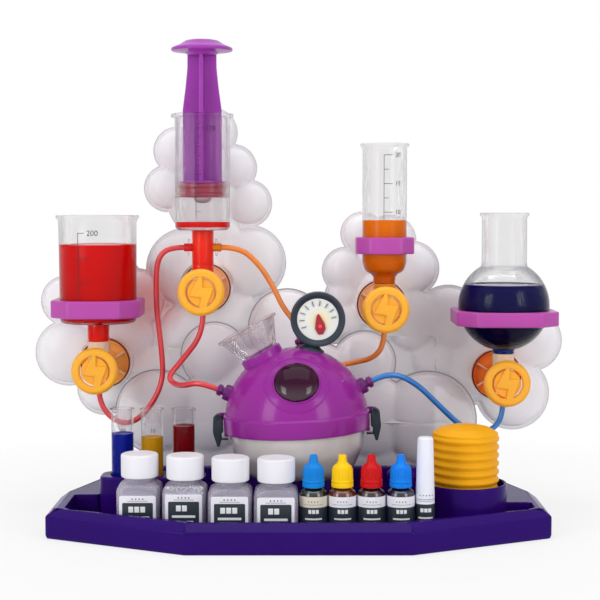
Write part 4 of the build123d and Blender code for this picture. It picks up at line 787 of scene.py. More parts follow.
def flask():
    x, bulb, low, top, level, reach = FLASK_X, 169.0, 134.0, 244.0, 185.5, 36.4
    wall = [(3, bulb - 34.97), *rounded(spigot(low), 3), (11.37, low), *arc((0, bulb), 36.8, -72, 58, 30)]
    neck = [(18.9, bulb + 31.6), (18.2, bulb + 34.5, 5), (18.2, top - 4, 1.2), (19.9, top - 1.5, 0.7),
            (19.8, top, 0.6), (18.4, top, 0.7), (16.5, top - 3, 1.2), (16.5, bulb + 33.5, 5),
            (18.2, bulb + 30.4)]
    wall += rounded(neck, 5) + arc((0, bulb), 35.1, 57.5, -84.5, 30)
    vessel("round_flask", x, wall, 112)
    rise = sqrt(reach**2 - (level - bulb) ** 2)
    edge = degrees(atan2(level - bulb, rise))
    fill = [(0, low - 5), (3.2, low - 5), (3.2, low + 0.3), *arc((0, bulb), reach, -72.4, edge, 26)]
    fill += [(rise - 0.35, level + 0.9), (rise - 1.4, level + 0.15), (0, level)]
    filling("flask_fill", x, fill,
            liquid("flask_liquid", "#06031a", "#121050", low, 190, transmission=0.0), 112)


beaker()
barrel()
cylinder()
flask()


# ---- stopcocks
ZIGZAG = [(-0.9, 14.2), (-10.0, -3.2), (0.4, -4.5), (-1.3, -14.0), (4.4, -13.2), (10.8, 3.8), (1.3, 4.1),
          (1.6, 14.2)]
ZIGZAG_SOFT = rounded([(0.955 * px, 0.955 * py, 0.5) for px, py in ZIGZAG], 3, True)


def by_depth(line, steps=4):
    """A rounded profile from (radius, depth, corner radius), to turn about a line that runs back."""
    return rounded([(radius, back(depth), *corner) for radius, depth, *corner in line], steps)


def stopcock(name, x, z, top, filled, shaded_colour, bright):
    """The fixed half: a plug with a dished flange on the cloud panel, a stem above it and an outlet below."""
    place, column = aimed((x, 0, z), (0, 1, 0)), upright(x, VESSEL_DEPTH)
    line = [(0, 137), (5.2, 137, 0.3), (8.6, 137.4, 0.8), (8.6, 189, 1.5), (12, 193, 1), (17.2, 192.6, 1.5),
            (19, 188.2, 0.5), (20.6, 188, 0.8), (20.6, 197, 0.8), (0, 197)]
    shells = [turned(by_depth(line), place, 80)]
    ribs = []
    for k in range(6):
        angle = radians(30 + 60 * k)
        out = Vector((cos(angle), 0, sin(angle)))
        side = Vector((-sin(angle), 0, cos(angle))) * 0.7
        start, end = spot(x, 188.6, z) + out * 8, spot(x, 188.6, z) + out * 18.6
        ring = [start - side, start + side, end + side, end - side]
        ribs.append(lofted([ring, [p + Vector((0, 6, 0)) for p in ring]]))
    collar = [(3.45, z), (3.45, z - 10.6, 0.5), (2.3, z - 11, 0.3), (2.25, z - 16.9, 0.2), (1.3, z - 17),
              (1.3, z - 9)]
    nut = [(3.3, z - 8.9), (4.6, z - 9, 0.3), (4.6, z - 10.8, 0.3), (3.3, z - 10.9)]
    shells += [turned(rounded(part, 3), column, 40) for part in (collar, nut)]
    body = f"{name}_valve_body"
    made(body + "_barrel", shells, VALVE_LIT_TONES[name], replaces=body)
    # the ribs wear the lighter orange of the painted highlight
    made(body + "_ribs", ribs, VALVE_RIB_HIGHLIGHT)
    hem = [(19.6, 187.9), (20.3, 187.6, 0.3), (20.75, 187.9, 0.3), (20.75, 190, 0.2), (19.6, 190)]
    made(body + "_hem", turned(by_depth(hem, 3), place, 96, closed=True), VALVE_EDGE)
    stem = [(3, z + 2), (8.3, z + 2), (8.8, z + 7), (8.8, top - 0.1, 0.4), (6.6, top - 0.1),
            (6.6, top - 6.2), (3, top - 6.2)]
    made(name + "_stem", turned(rounded(stem, 3), column, 56, closed=True), CLEAR_STEM, slotted=True)
    core = [(0, filled), (8.2, filled, 0.8), (8.45, top - 0.3, 0.3), (0, top - 0.3)]
    filling(name + "_stem_fill", x, rounded(core, 3),
            liquid(name + "_stem_liquid", shaded_colour, bright, filled, top), 56)
    plug = [(0, z + 2.3), (8, z + 2.3, 0.3), (8.5, z + 7), (8.45, filled - 0.2, 0.2), (0, filled - 0.2)]
    filling(name + "_stem_base", x, rounded(plug, 3), STEM_CREAM, 56)


def hand_wheel(name, x, z):
    """The turning half: an open rim, a zigzag spoke and a hub on its shaft."""
    front = facing(x, 123, z)
    rim = [(12.2, -4.6, 0.5), (12, -1.4, 1), (12.9, 0, 0.8), (16.4, 0, 2.4), (18.7, -2, 2), (18.7, -5, 1.4),
           (12.5, -5, 0.4)]
    hub = [(0, -2.4), (11, -2.4, 0.6), (11, -8, 0.6), (7, -9.2, 0.6), (7, -13.5, 0.5), (5, -13.6),
           (5, -36, 0.8), (0, -36)]
    shells = [turned(rounded(rim), front, 96, closed=True),
              plate([ZIGZAG_SOFT], 4.2, 0.6, raised(front, -0.35)),
              turned(rounded(hub, 3), front, 48)]
    made(f"{name}_hand_wheel", shells, WHEEL_ORANGE, f"{name}_wheel", replaces=f"{name}_valve_wheel")


for cock, cock_x, cock_z, cock_top, cock_fill, stem_shaded_colour, stem_bright in (
    # painted light: the beaker's stem liquid is a lighter red than the beaker's own, to offset the shade its
    # ring casts on the stem
    ("beaker", BEAKER_X, 118.0, 155.0, 140.0, "#f01810", "#fc2012"),
    ("syringe", SYRINGE_X, 181.0, 203.0, 196.0, "#fa2a1a", "#ff3824"),
    ("cylinder", CYLINDER_X, 167.0, 187.0, 177.5, "#e07a10", "#f59a20"),
    ("flask", FLASK_X, 108.0, 134.0, 130.0, "#10206c", "#1c3690"),
):
    stopcock(cock, cock_x, cock_z, cock_top, cock_fill, stem_shaded_colour, stem_bright)
    hand_wheel(cock, cock_x, cock_z)


# ---- ring holders
def ring_holder(name, x, outer, flat, hole_low, hole_high, low, high):
    """Eight-sided collar with soft corners round a vessel, and its arm back to the cloud panel."""
    y, middle = back(VESSEL_DEPTH), (low + high) / 2
    front = [(-flat, -outer), (flat, -outer), (outer, -flat), (outer, flat)]
    outline = rounded([(px, py, 7) for px, py in front + [(-px, -py) for px, py in front]], 6, True)
    edges = rounded([(2.9, low), (0, low, 2), (0, low + 4), (0, high, 2.2), (2.9, high)], 5)
    rows = [[(x + px, y + py, z) for px, py in inset(outline, amount)] for amount, z in edges]
    hole = ((hole_high + 0.6, high), (hole_high, high - 0.7), (hole_low, low + 0.7), (hole_low + 0.6, low))
    for radius, z in hole:
        ways = [Vector(point).normalized() * radius for point in outline]
        rows.append([(x + way.x, y + way.y, z) for way in ways])
    arm = box((x - 7, x + 7), (back(VESSEL_DEPTH + outer - 4), back(197.4)), (middle - 4, middle + 4), 1.2)
    pad = plate([block(-11, -6.5, 11, 6.5, 2)], 2, 0.5, facing(x, 195.1, middle))
    made(f"{name}_collar", [joined(rows, hoop=True), arm, pad], RING_PURPLE, replaces=f"{name}_ring")


ring_holder("beaker", BEAKER_X, 35.6, 20.4, 31.3, 31.6, 160.3, 174.3)
ring_holder("cylinder", CYLINDER_X, 23.4, 12.6, 18.2, 18.2, 211.0, 224.4)
ring_holder("flask", FLASK_X, 40.8, 25.4, 34.2, 37.2, 154.0, 165.6)


# ---- syringe
def tee():
    x, z, column = SYRINGE_X, 216.0, upright(SYRINGE_X, VESSEL_DEPTH)
    stem = [(3, 197), (6.5, 197, 0.4), (6.5, 203), (8.8, 203, 0.4), (8.8, 230, 0.3), (6.6, 230),
            (6.6, 224), (3, 224)]
    port = [(1.6, 8), (3.4, 8), (3.4, 10.2, 0.2), (7, 10.3, 0.5), (7, 11.8, 0.5), (3.4, 11.9, 0.2),
            (3.4, 14.9, 0.4), (2.4, 15.2, 0.2), (1.6, 15.2)]
    branch = rounded([(0, 7.5), (3, 7.6), (3, 15, 0.3), (0, 15.1)], 3)
    ways = [aimed(spot(x, VESSEL_DEPTH, z), (side, 0, 0), (0, 1, 0)) for side in (-1, 1)]
    shells = [turned(rounded(stem, 3), column, 56, closed=True)]
    shells += [turned(rounded(port, 3), way, 40, closed=True) for way in ways]
    made("tee_body", shells, CLEAR_STEM, replaces="syringe_tee")
    core = rounded([(0, 203), (8.3, 203), (8.45, 229.9, 0.3), (0, 229.9)], 3)
    filling("tee_fill", x, core, liquid("tee_liquid", "#fc2c1c", "#ff3826", 197, 232), 56)
    for side, way, tone in zip(("left", "right"), ways, ("#e8262a", "#e8801f")):
        made("port_fill_" + side, turned(branch, way, 32),
             liquid("port_liquid_" + side, tone, tone, 210, 222))


def plunger():
    x, column = SYRINGE_X, upright(SYRINGE_X, VESSEL_DEPTH)
    line = rounded([(15.7, 268.5), (15.7, 326, 12), (13.2, 345, 12), (11.7, 360, 6), (11.6, 373)])
    outline = line + [(-px, pz) for px, pz in reversed(line)]
    across = aimed((x + 1.6, back(VESSEL_DEPTH), 0), (1, 0, 0), (0, 1, 0))
    shells = [plate([outline], 3.2, 0.8, place, 3) for place in (facing(x, VESSEL_DEPTH - 1.6, 0), across)]
    disc = [(0, 369.8), (11, 370, 1), (14, 372.3, 2), (24.2, 373.4, 0.4), (24.8, 374.6, 0.8),
            (24.3, 375.9, 0.8), (18, 378.6, 6), (13.2, 381.6, 4), (9.5, 382.3, 2), (0, 382.3)]
    foot = [(0, 259.4), (7.9, 259.4), (7.9, 267.8), (18.6, 267.8, 0.4), (18.8, 269.6, 0.6), (0, 270)]
    shells += [turned(rounded(disc), column, 80), turned(rounded(foot, 3), column)]
    made("plunger_rod", shells, PLUNGER_PURPLE, "plunger", replaces="plunger")
    seal = [(0, 256.4), (18.8, 256.4, 0.5), (20.33, 257, 0.8), (20.33, 259.4, 0.8), (19, 260.4, 0.7),
            (19, 263.4, 0.7), (20.33, 264.6, 0.8), (20.33, 267, 0.8), (18.9, 267.7, 0.4), (8.02, 267.7),
            (8.02, 259.3), (0, 259.3)]
    made("seal_lips", turned(rounded(seal), column, 96), SEAL_RUBBER, "plunger", replaces="piston_seal")
    tip = [(7.6 * cos(radians(a)), 256.5 - 4.8 * sin(radians(a))) for a in range(0, 90, 9)]
    made("seal_tip", turned([(0, 256.5), *tip, (0, 251.7)], column, 56), SEAL_TIP, "plunger")


tee()
plunger()


# ---- reaction dome
TILT = 2.4
UP, RIGHT = radial(-TILT), radial(90 - TILT)
DOME = aimed(CENTRE, UP, RIGHT)
WINDOW = aimed(CENTRE, (0, -cos(radians(38.5)), sin(radians(38.5))))
FUNNEL = aimed(CENTRE, radial(-28.8))
PIVOT = (61.4, 3.4)


def mirrored(outline, side):
    """An outline on the left (side -1) or the right (1), its turning sense kept."""
    return [(side * px, pz) for px, pz in outline][::side]


def towards_front(offset):
    """A place that faces the front, level with the tilted dome, this far behind its centre."""
    return aimed(CENTRE + Vector((0, offset, 0)), (0, -1, 0), RIGHT)


def dome_lid():
    lid = [(53, -1), (53, 1), (54.3, -0.4), (54.7, -7.8)]
    lid += rounded([(54.7, -7.9), (57.5, -7.9, 0.8), (57.75, 5, 0.9), (56.3, 6.5, 0.4)])[1:]
    lid += arc((0, 0), DOME_RADIUS, 7.2, 90, 42)
    lid[-1] = (0, DOME_RADIUS)
    lid += [(0, DOME_RADIUS - 2.4)] + arc((0, 0), DOME_RADIUS - 2.4, 88, 2, 30)
    mouth = [(12.9, 50), (16.9, 50.5), (16.9, 59.2, 1.2), (15.6, 60.2, 0.8), (12.9, 60.2)]
    rise = sqrt(DOME_RADIUS**2 - 24.2**2)
    ridge = [(23.2, rise - 0.4), (23.7, rise + 0.75, 0.4), (24.5, rise + 0.45, 0.4), (25.2, rise - 1.4)]
    edge = sqrt(DOME_RADIUS**2 - 18.2**2)
    bezel = [(16.9, edge - 2), (17.1, edge + 1.2, 0.4), (17.9, edge + 1.2, 0.5), (18.9, edge - 0.9)]
    shells = [turned(lid, DOME, 144), turned(rounded(mouth), FUNNEL, 72, closed=True)]
    shells += [turned(rounded(line, 3), WINDOW, 112) for line in (ridge, bezel)]
    ear = rounded([(56.4, 0.7), (61.4, 0.7, 2), (64, 3.4, 2), (61.4, 6.1, 2), (56.4, 6.1)], 4, True)
    pin = rounded([(0, 0), (1.3, 0), (1.3, 9.2, 0.3), (0, 9.2)], 2)
    pins = []
    for side in (-1, 1):
        shells.append(plate([mirrored(ear, side)], 3, 0.4, raised(towards_front(4.3), -3)))
        pivot = CENTRE + RIGHT * side * PIVOT[0] + UP * PIVOT[1] + Vector((0, 5.4, 0))
        pins.append(turned(pin, aimed(pivot, (0, -1, 0), RIGHT), 24))
    made("latch_pins", pins, SLATE)
    made("dome_lid", shells, LID_PURPLE, replaces="reactor_lid")


def dome_bowl():
    outside = [(53.8, -9), (51.4, -24.4, 20), (43.4, -39.5, 20), (30, -50.4, 20), (15, -55.6, 14),
               (0, -56.6)]
    inside = [(0, -54.4), (14.5, -53.4, 14), (28.6, -48.6, 18), (41.4, -38.3, 18), (49.2, -24, 18),
              (51.6, -9)]
    wall = [(51.6, -2.2), (53.8, -2.2)] + rounded(outside, 6) + rounded(inside, 6)
    made("dome_bowl", turned(wall, DOME, 128), SMOKY_BOWL, replaces="reactor_bowl")
    lug = rounded([(52.6, -11.5), (57.5, -11.5, 0.8), (57.5, -8.4, 0.8), (52.6, -8.4)], 3, True)
    lugs = [plate([mirrored(lug, side)], 6, 0.4, towards_front(-3)) for side in (-1, 1)]
    made("bowl_lugs", lugs, FITTING_PURPLE)


def window_dome():
    radius, rise, foot, steps = 16.95, 7, 55, 14
    bends = [radians(90 * k / steps) for k in range(1, steps)]
    lens = [(0, 51.5), (radius, 51.5), (radius, foot)]
    lens += [(radius * cos(bend), foot + rise * sin(bend)) for bend in bends]
    shell = turned([*lens, (0, foot + rise)], WINDOW, 96)
    made("window_dome", shell, LENS_DARK, replaces="window_lens")


def funnel():
    cone = [(10.9, 51, 0.4), (12.3, 51, 0.3), (12.3, 60.4), (14.9, 60.4, 0.5), (23.4, 79.6, 1),
            (25.6, 80.2, 0.5), (25.7, 82, 0.5), (23.1, 82, 0.8), (13.5, 62, 0.8), (10.9, 60.4, 0.5)]
    made("funnel_cone", turned(rounded(cone), FUNNEL, 96, closed=True), CLEAR_FUNNEL, "funnel",
         replaces="funnel")


def fittings():
    flange = [(0, -3), (6.4, -3), (6.4, 3, 0.6), (4.8, 3.2, 0.4), (3.3, 3.4, 0.3), (3.3, 9.6), (0, 9.6)]
    nose = [(2.4, 8), (3.4, 9.5, 0.2), (3.2, 10.2, 0.3), (1.3, 10.3), (1.3, 8)]
    shells = []
    for seat, way in FITTINGS.values():
        place = aimed(CENTRE + seat * DOME_RADIUS, way, (0, 1, 0))
        shells.append(turned(rounded(flange, 3), place, 40))
        for top, across, thickness in ((4.4, 6.6, 2.4), (9.6, 4.9, 3.4)):
            hexagon = rounded([(px, py, 0.5) for px, py in circle((0, 0), across, 6)], 2, True)
            shells.append(plate([hexagon], thickness, 0.4, raised(place, top)))
        shells.append(turned(rounded(nose, 3), place, 32, closed=True))
    made("fitting_nuts", shells, FITTING_PURPLE, replaces="hose_fittings")


def latches():
    lever = [(58.4, 3.4, 2), (58.4, -8, 0.5), (59.8, -8.6, 0.5), (59.8, -13, 0.4), (54.6, -13, 0.3),
             (54.6, -14.2, 0.3), (60.2, -14.3, 0.6), (61.6, -19.4, 0.8), (63.4, -19, 0.8), (66.4, -8, 16),
             (65.6, 4.6, 3), (61.6, 7.3, 2)]
    for side, name in ((-1, "latch_left"), (1, "latch_right")):
        hole = [(side * px, pz) for px, pz in circle(PIVOT, 1.36, 18)]
        shell = plate([mirrored(rounded(lever, 4, True), side), hole], 8, 0.7, towards_front(-4), 3)
        made(name + "_lever", shell, SLATE, name, replaces=name)


GAUGE = CENTRE + radial(11.9) * 80.9
NEEDLE_X, NEEDLE_Z = 17.0, 155.4


def gauge():
    front = facing(GAUGE.x, 105, GAUGE.z)
    case = [(16.3, -3), (16.3, -2.6), (18.6, -0.9, 0.5), (19.4, 0, 0.8), (21.5, 0, 1.8), (21.5, -14, 1.8),
            (0, -14), (0, -4.2), (16.3, -4.2)]
    saddle = [(0, 53), (10.4, 54), (10.4, 56.9, 1), (7.2, 58.6, 1.6), (5.4, 60.2, 0.8), (5.4, 62.6),
              (0, 62.6)]
    shells = [turned(rounded(case), front, 112), turned(rounded(saddle), aimed(CENTRE, radial(11.9)), 64)]
    made("gauge_housing", shells, SLATE, replaces="gauge_case")

    dial = Finish("dial_face", "dial_white", IOR=1.45, Coat_Weight=0.25)
    glow = dial.near((GAUGE.x + 1.6, back(108), GAUGE.z - 1), 3, 7.5)
    card = dial.noise(900, detail=3)
    shade = dial.mix(glow * 0.85, linear("#eef0ea"), linear("#f6e29a"))
    dial.set(Base_Color=dial.mix(card * 0.12, shade, linear("#c8c8c0")), Roughness=0.35 + card * 0.15)
    dial.bump(card, 0.08, 0.03)
    face = rounded([(0, -4.2), (18.4, -4.2), (18.4, -3, 0.3), (0, -3)], 2)
    pin = rounded([(0, -0.4), (1, -0.4), (1, 1.5, 0.3), (0, 1.6)], 3)
    made("dial_plate", [turned(face, front, 96), turned(pin, facing(NEEDLE_X, 108, NEEDLE_Z), 24)], dial,
         replaces="gauge_dial")

    needle = [(-2.9, 8, 1), (-1.6, 10.2, 0.8), (-0.3, 8.6, 1), (3.6, 2, 2), (4.2, -2, 1.6), (2.4, -6, 1),
              (-1.4, -6.6, 1), (-4, -2, 2), (-3.8, 2.4, 2)]
    needle = rounded(needle, 3, True)
    place = facing(NEEDLE_X, 106.5, NEEDLE_Z)
    arm = plate([needle, circle((0, 0), 1.06, 18)], 1.1, 0.25, place)
    made("needle_arm", arm, NEEDLE_RED, "needle", replaces="gauge_needle")
    made("needle_edge", plate([inset(needle, -0.7)], 0.3, 0.05, raised(place, -0.95)), MARK_BLACK, "needle")
    boss = rounded([(0, 0), (1.7, 0, 0.2), (1.5, 0.8, 0.5), (0, 1)], 3)
    made("needle_boss", turned(boss, place, 28), PIVOT_RED, "needle")


for build in (dome_lid, dome_bowl, window_dome, funnel, fittings, latches, gauge):
    build()


# ---- air pump
def bellows():
    radius, start, pitch, folds, tall, travel = 26.3, 37.4, 6.3, 6, 78.6, 22
    line = [(0, 4), (radius - 1, 4, 0.6), (radius - 1, start - 3, 1)]
    for fold in range(folds):
        groove = start + fold * pitch
        line += [(radius - 2.4, groove, 0.7), (radius + 0.05, groove + pitch * 0.5, 2.2)]
    line += [(radius - 1.6, start + folds * pitch - 0.6, 0.8), (radius - 1.2, 76.2, 2.4),
             (radius - 8, 80.2, 8), (radius - 17, 82.2, 8), (0, 82.6)]
    pump = made("pump_bellows", turned(rounded(line, 5), upright(PUMP_X, PUMP_DEPTH), 112), BELLOWS_YELLOW,
                replaces="bellows_pump")
    back(PUMP_DEPTH) * MM
    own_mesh(pump)


bellows()


# ---- test tubes
def test_tube(number, x, level, shaded_colour, bright):
    low, radius, rim, top = 8.2, 8.6, 9.6, 92.0
    body, inner = f"tube_{number}", radius - 1.1
    outside = arc((0, low + radius), radius, -90, 0, 10)
    inside = arc((0, low + radius), inner, 0, -90, 10)
    outside[0], inside[-1] = (0, low), (0, low + 1.1)
    mouth = [(radius, low + radius), (radius, top - 2.6, 0.8), (rim, top - 1.6, 0.5), (rim, top, 0.6),
             (inner, top, 0.4), (inner, top - 6)]
    wall = turned(outside + rounded(mouth)[1:] + inside, upright(x, RACK_DEPTH), 64)
    made(f"tube_wall_{number}", wall, CLEAR_TUBE, body, replaces=f"test_tube_{number}")
    fill = [(0, low + 0.35), *arc((0, low + radius), radius - 0.35, -90, 0, 10)[1:]]
    fill += [(radius - 0.35, level + 0.7), (radius - 1, level + 0.1), (0, level)]
    tone = liquid(f"tube_liquid_{number}", shaded_colour, bright, low, level)
    filling(f"tube_fill_{number}", x, fill, tone, 64, RACK_DEPTH, body)
    mark = wrapped(numerals("10", 4.2, facing(x + 1.5, RACK_DEPTH, 75.4)), x, RACK_DEPTH, radius)
    made(f"tube_mark_{number}", mark, MARK_BLACK, body)


test_tube(1, TUBE_XS[0], 72.0, "#000c78", "#041c98")
test_tube(2, TUBE_XS[1], 69.0, "#b87c04", "#cc940c")
test_tube(3, TUBE_XS[2], 78.0, "#5c0008", "#7a0210")


# ---- powder bottles
def powder_finish(name, gap_shade_code, high_code, grain):
    """Loose powder: bright grains with painted shade in the gaps between them."""
    finish = Finish(name, IOR=1.4)
    specks = finish.node("ShaderNodeTexVoronoi", {}, {"Vector": finish.place, "Scale": grain})[0]
    # painted shade: colour darkens from each grain's middle towards the gaps
    tone = finish.spread(specks, 0.0, 0.7)
    finish.set(Base_Color=finish.mix(tone, linear(high_code), linear(gap_shade_code)), Roughness=0.7 + tone * 0.2)
    return finish.bump(1 - tone, 0.6, 0.4)


POWDERS = [
    powder_finish("soda_powder", "#a49fb4", "#d6d2e0", 900),
    powder_finish("white_grains", "#b8b8c4", "#f4f4f8", 480),
    powder_finish("resin_powder", "#a6a0b2", "#d8d3e0", 700),
    powder_finish("acid_powder", "#a49fb0", "#dad6e2", 800),
]


def squared(x, depth, rows, count=64):
    """Shell of rings: a rounded square (height, half width, corner) blended with a circle (share, radius)."""
    rings = []
    for z, half, corner, circle, radius in rows:
        ring, inner = [], half - corner
        for k in range(count):
            angle = 2 * pi * (k + 0.5) / count
            c, s = cos(angle), sin(angle)
            reach = half / max(abs(c), abs(s))
            if min(abs(c), abs(s)) * reach > inner:
                px = inner * (abs(c) + abs(s))
                reach = px + sqrt(max(px * px - 2 * inner * inner + corner * corner, 0))
            reach = reach * (1 - circle) + radius * circle
            ring.append((x + reach * c, back(depth) + reach * s, z))
        rings.append(ring)
    return lofted(rings)


def powder_bottle(number, x, depth):
    body = f"powder_{number}"
    neck = [(z, r, 6, 1, r)
            for z, r in ((44.4, 11.6), (46, 11.4), (61, 11.4), (61, 9.9), (46, 9.9), (43, 10.2))]
    wall = [(4, 14.6, 3.8, 0, 0), (4.4, 15.6, 4.4, 0, 0), (5.6, 16.2, 4.6, 0, 0), (37, 16.2, 4.6, 0, 0),
            (39.6, 15.9, 5, 0, 0), (41.4, 15, 5.6, 0.1, 15), (42.8, 13.6, 6, 0.4, 13.6),
            (43.6, 12.4, 6, 0.8, 12.4), *neck,
            (41.6, 12.4, 5, 0.6, 12.4), (39.4, 14.2, 4, 0.1, 14), (36.5, 14.9, 3.4, 0, 0),
            (7, 14.9, 3.4, 0, 0), (5.6, 14, 3, 0, 0)]
    made(f"bottle_wall_{number}", squared(x, depth, wall), CLEAR_BOTTLE, body,
         replaces=f"powder_bottle_{number}", crease=50)
    top = 41.0 if number == 2 else 36.0
    heap = [(5.7, 13.8, 3, 0, 0), (7, 14.75, 3.4, 0, 0), (top - 4, 14.75, 3.4, 0, 0),
            (top - 1.4, 12.6, 4, 0.4, 13), (top, 7, 4, 1, 7)]
    made(f"powder_heap_{number}", squared(x, depth, heap), POWDERS[number - 1], body, crease=80)

    film, drop, odd = depth - 16.25, 2.4 if number == 1 else 0.0, number % 2
    label, panel = block(-13.6, 6, 13.6, 37.6 - drop, 1.6, 4), block(-11.4, 8, 11.4, 32.4 - drop, 1.2, 4)
    made(f"powder_label_{number}", plate([label], 0.28, 0.04, facing(x, film - 0.18, 0)), LABEL_WHITE, body)
    made(f"powder_panel_{number}", plate([panel], 0.36, 0.04, facing(x, film - 0.26, 0)), LABEL_DARK, body)
    prints = [(4.4 * k - 5.6 - 1.2 * odd, 25.2, 4.4 * k - 2.0 - 1.2 * odd, 29.6) for k in range(2 + odd)]
    prints += [(-8.6, 20.4, 8.6, 22.2), (-7.0, 17.2, 7.0, 18.0), (-8.0, 14.6, 8.0, 15.3)]
    ink = facing(x, film - 0.34, -drop)
    glyphs = [plate([block(*corners, 0.3, 2)], 0.12, 0.03, ink) for corners in prints]
    made(f"powder_print_{number}", glyphs, LABEL_PRINT, body)
    rule = oblong(-7.5, 33.5, 7.5, 33.8)
    dots = [*(circle((-3.9 + 2.6 * k, 35.2), 0.55, 8) for k in range(4)), rule]
    dots = [plate([dot], 0.1, 0.02, facing(x, film - 0.24, -drop)) for dot in dots]
    made(f"powder_dots_{number}", dots, MARK_BLACK, body)

    cap = [(11.9, 47.2), (13.6, 47, 0.4), (13.95, 48, 0.4), (13.95, 62.8), (13.7, 63.8, 0.8),
           (12.6, 64.4, 0.6), (0, 64.4), (0, 61.4), (11.9, 61.4)]
    shell = turned(rounded(cap), upright(x, depth), 180, flutes=(60, 0.12, 48.5, 62.9))
    made(f"powder_lid_cap_{number}", shell, CAP_WHITE, f"powder_lid_{number}",
         replaces=f"powder_cap_{number}")


for bottle, (bottle_x, bottle_depth) in enumerate(BOTTLES, start=1):
    powder_bottle(bottle, bottle_x, bottle_depth)


# ---- dropper and glue bottles
def dyed(name, code):
    """Dark dye behind the bottle's thin wall."""
    finish = Finish(name, "drop_body", IOR=1.45, Coat_Weight=0.8, Coat_Roughness=0.05)
    colour = linear(code)
    haze = finish.noise(120, detail=3)
    finish.set(Base_Color=finish.mix(haze, tinted(colour, 0.7), tinted(colour, 1.4)),
               Roughness=0.1 + haze * 0.1)
    return finish.bump(haze, 0.05, 0.05)


def printed(name, x, strips, finish, body):
    """Thin films round a bottle of the front row: (radius, low, high, start, end, thickness) of each."""
    shells = [band(x, ROW_DEPTH, *strip) for strip in strips]
    made(name, shells, finish, body)


def dropper(number, x, glass, label, cap_slot, cap_code, cap_tone=0.07):
    body, column, low = f"dropper_{number}", upright(x, ROW_DEPTH), 43.2
    wall = [(0, 4.8), (7, 4.4, 1), (9.4, 4, 0.6), (10.3, 5, 0.6), (10.3, 37.4, 1.4), (9.6, 40, 1.6),
            (7.2, 41.8, 1.2), (5.6, 42.4, 0.3), (5.6, 53.8, 0.4), (4, 54, 0.2), (4, 41, 0.4), (0, 40.6)]
    made(f"dropper_glass_{number}", turned(rounded(wall), column), glass, body,
         replaces=f"dropper_bottle_{number}")
    printed(f"dropper_label_{number}", x, [(10.35, 6, 37.2, -150, 150, 0.06)], label, body)
    printed(f"dropper_panel_{number}", x, [(10.42, 7, 29.4, -92, 92, 0.06)], LABEL_DARK, body)
    prints = [(10.5, 25, 27.9, 15 * k - 21, 15 * k - 9, 0.04) for k in range(3)]
    prints += [(10.5, 20.4, 21.6, -36, 36, 0.04), (10.5, 17.6, 18.2, -28, 28, 0.04)]
    printed(f"dropper_print_{number}", x, prints, LABEL_PRINT, body)
    marks = [(10.43, 33.3, 34.1, 12 * k - 22, 12 * k - 18, 0.04) for k in range(4)]
    printed(f"dropper_dots_{number}", x, [*marks, (10.43, 31.4, 31.6, -40, 40, 0.04)], MARK_BLACK, body)
    cap = [(6, low), (8.05, low, 0.3), (8.2, low + 0.6, 0.3), (8.2, low + 2.6, 0.3), (7.7, low + 3.1, 0.2),
           (8.1, low + 3.5, 0.3), (8.2, low + 5, 0.5), (7.6, low + 5.6, 0.3), (7.6, low + 6.2),
           (7.4, low + 13), (7, low + 15, 1.4), (4, low + 17.6, 1.2), (3.4, low + 19, 0.8),
           (2.9, low + 23, 0.3), (2.4, low + 23.8, 0.4), (0, low + 23.8), (0, 54.4), (6, 54.4)]
    shell = turned(rounded(cap, 3), column, 144, flutes=(24, 0.36, low + 6.1, low + 13.5))
    finish = moulded(cap_slot, cap_code, coat=0.06, tone=cap_tone, shine=0.12)
    made(f"dropper_lid_cap_{number}", shell, finish, f"dropper_lid_{number}",
         replaces=f"dropper_cap_{number}")


dropper(1, 11.1, dyed("iodine_glass", "#0c140c"), LABEL_CREAM, "drop_blue", "#0680d4")
dropper(2, 32.4, dyed("amber_glass", "#5a2208"), LABEL_WHITE, "drop_yellow", "#fbcc0c", 0.03)
dropper(3, 53.8, dyed("maroon_glass", "#2c0610"), LABEL_WHITE, "drop_red", "#c80c12")
dropper(4, 75.4, dyed("navy_glass", "#060a28"), LABEL_WHITE, "drop_azure", "#067ce2")


def glue():
    x, column = 93.4, upright(93.4, ROW_DEPTH)
    wall = [(0, 4.6), (5.6, 4, 0.6), (7, 4.4, 0.6), (7, 33, 0.5), (4.4, 33, 0.3), (4.4, 46, 0.3), (3, 46),
            (3, 32, 0.4), (0, 31.6)]
    made("glue_tube", turned(rounded(wall), column, 64), GLUE_WHITE, "glue", replaces="glue_bottle")
    printed("glue_panel", x, [(7.02, 6, 31.2, -180, 180, 0.08)], LABEL_DARK, "glue")
    prints = [(7.1, 25.4, 28.2, 24 * k - 34, 24 * k - 14, 0.05) for k in range(3)]
    prints += [(7.1, 20.6, 21.8, -48, 48, 0.05), (7.1, 17.8, 18.4, -36, 36, 0.05)]
    printed("glue_print", x, prints, LABEL_PRINT, "glue")
    cap = [(4.8, 33.3), (7, 33.3, 0.3), (7, 36), (6.9, 40), (5.75, 78.8, 0.8), (4.6, 80.2, 1), (0, 80.4),
           (0, 46.4), (4.8, 46.4)]
    made("glue_lid_cap", turned(rounded(cap), column, 64), GLUE_WHITE, "glue_lid", replaces="glue_cap")
    dots = [(6.98, 37.4, 38.2, 20 * k - 40, 20 * k - 34, 0.05) for k in range(5)]
    printed("glue_dots", x, [*dots, (7, 34.6, 34.9, -70, 70, 0.05)], MARK_BLACK, "glue_lid")


glue()


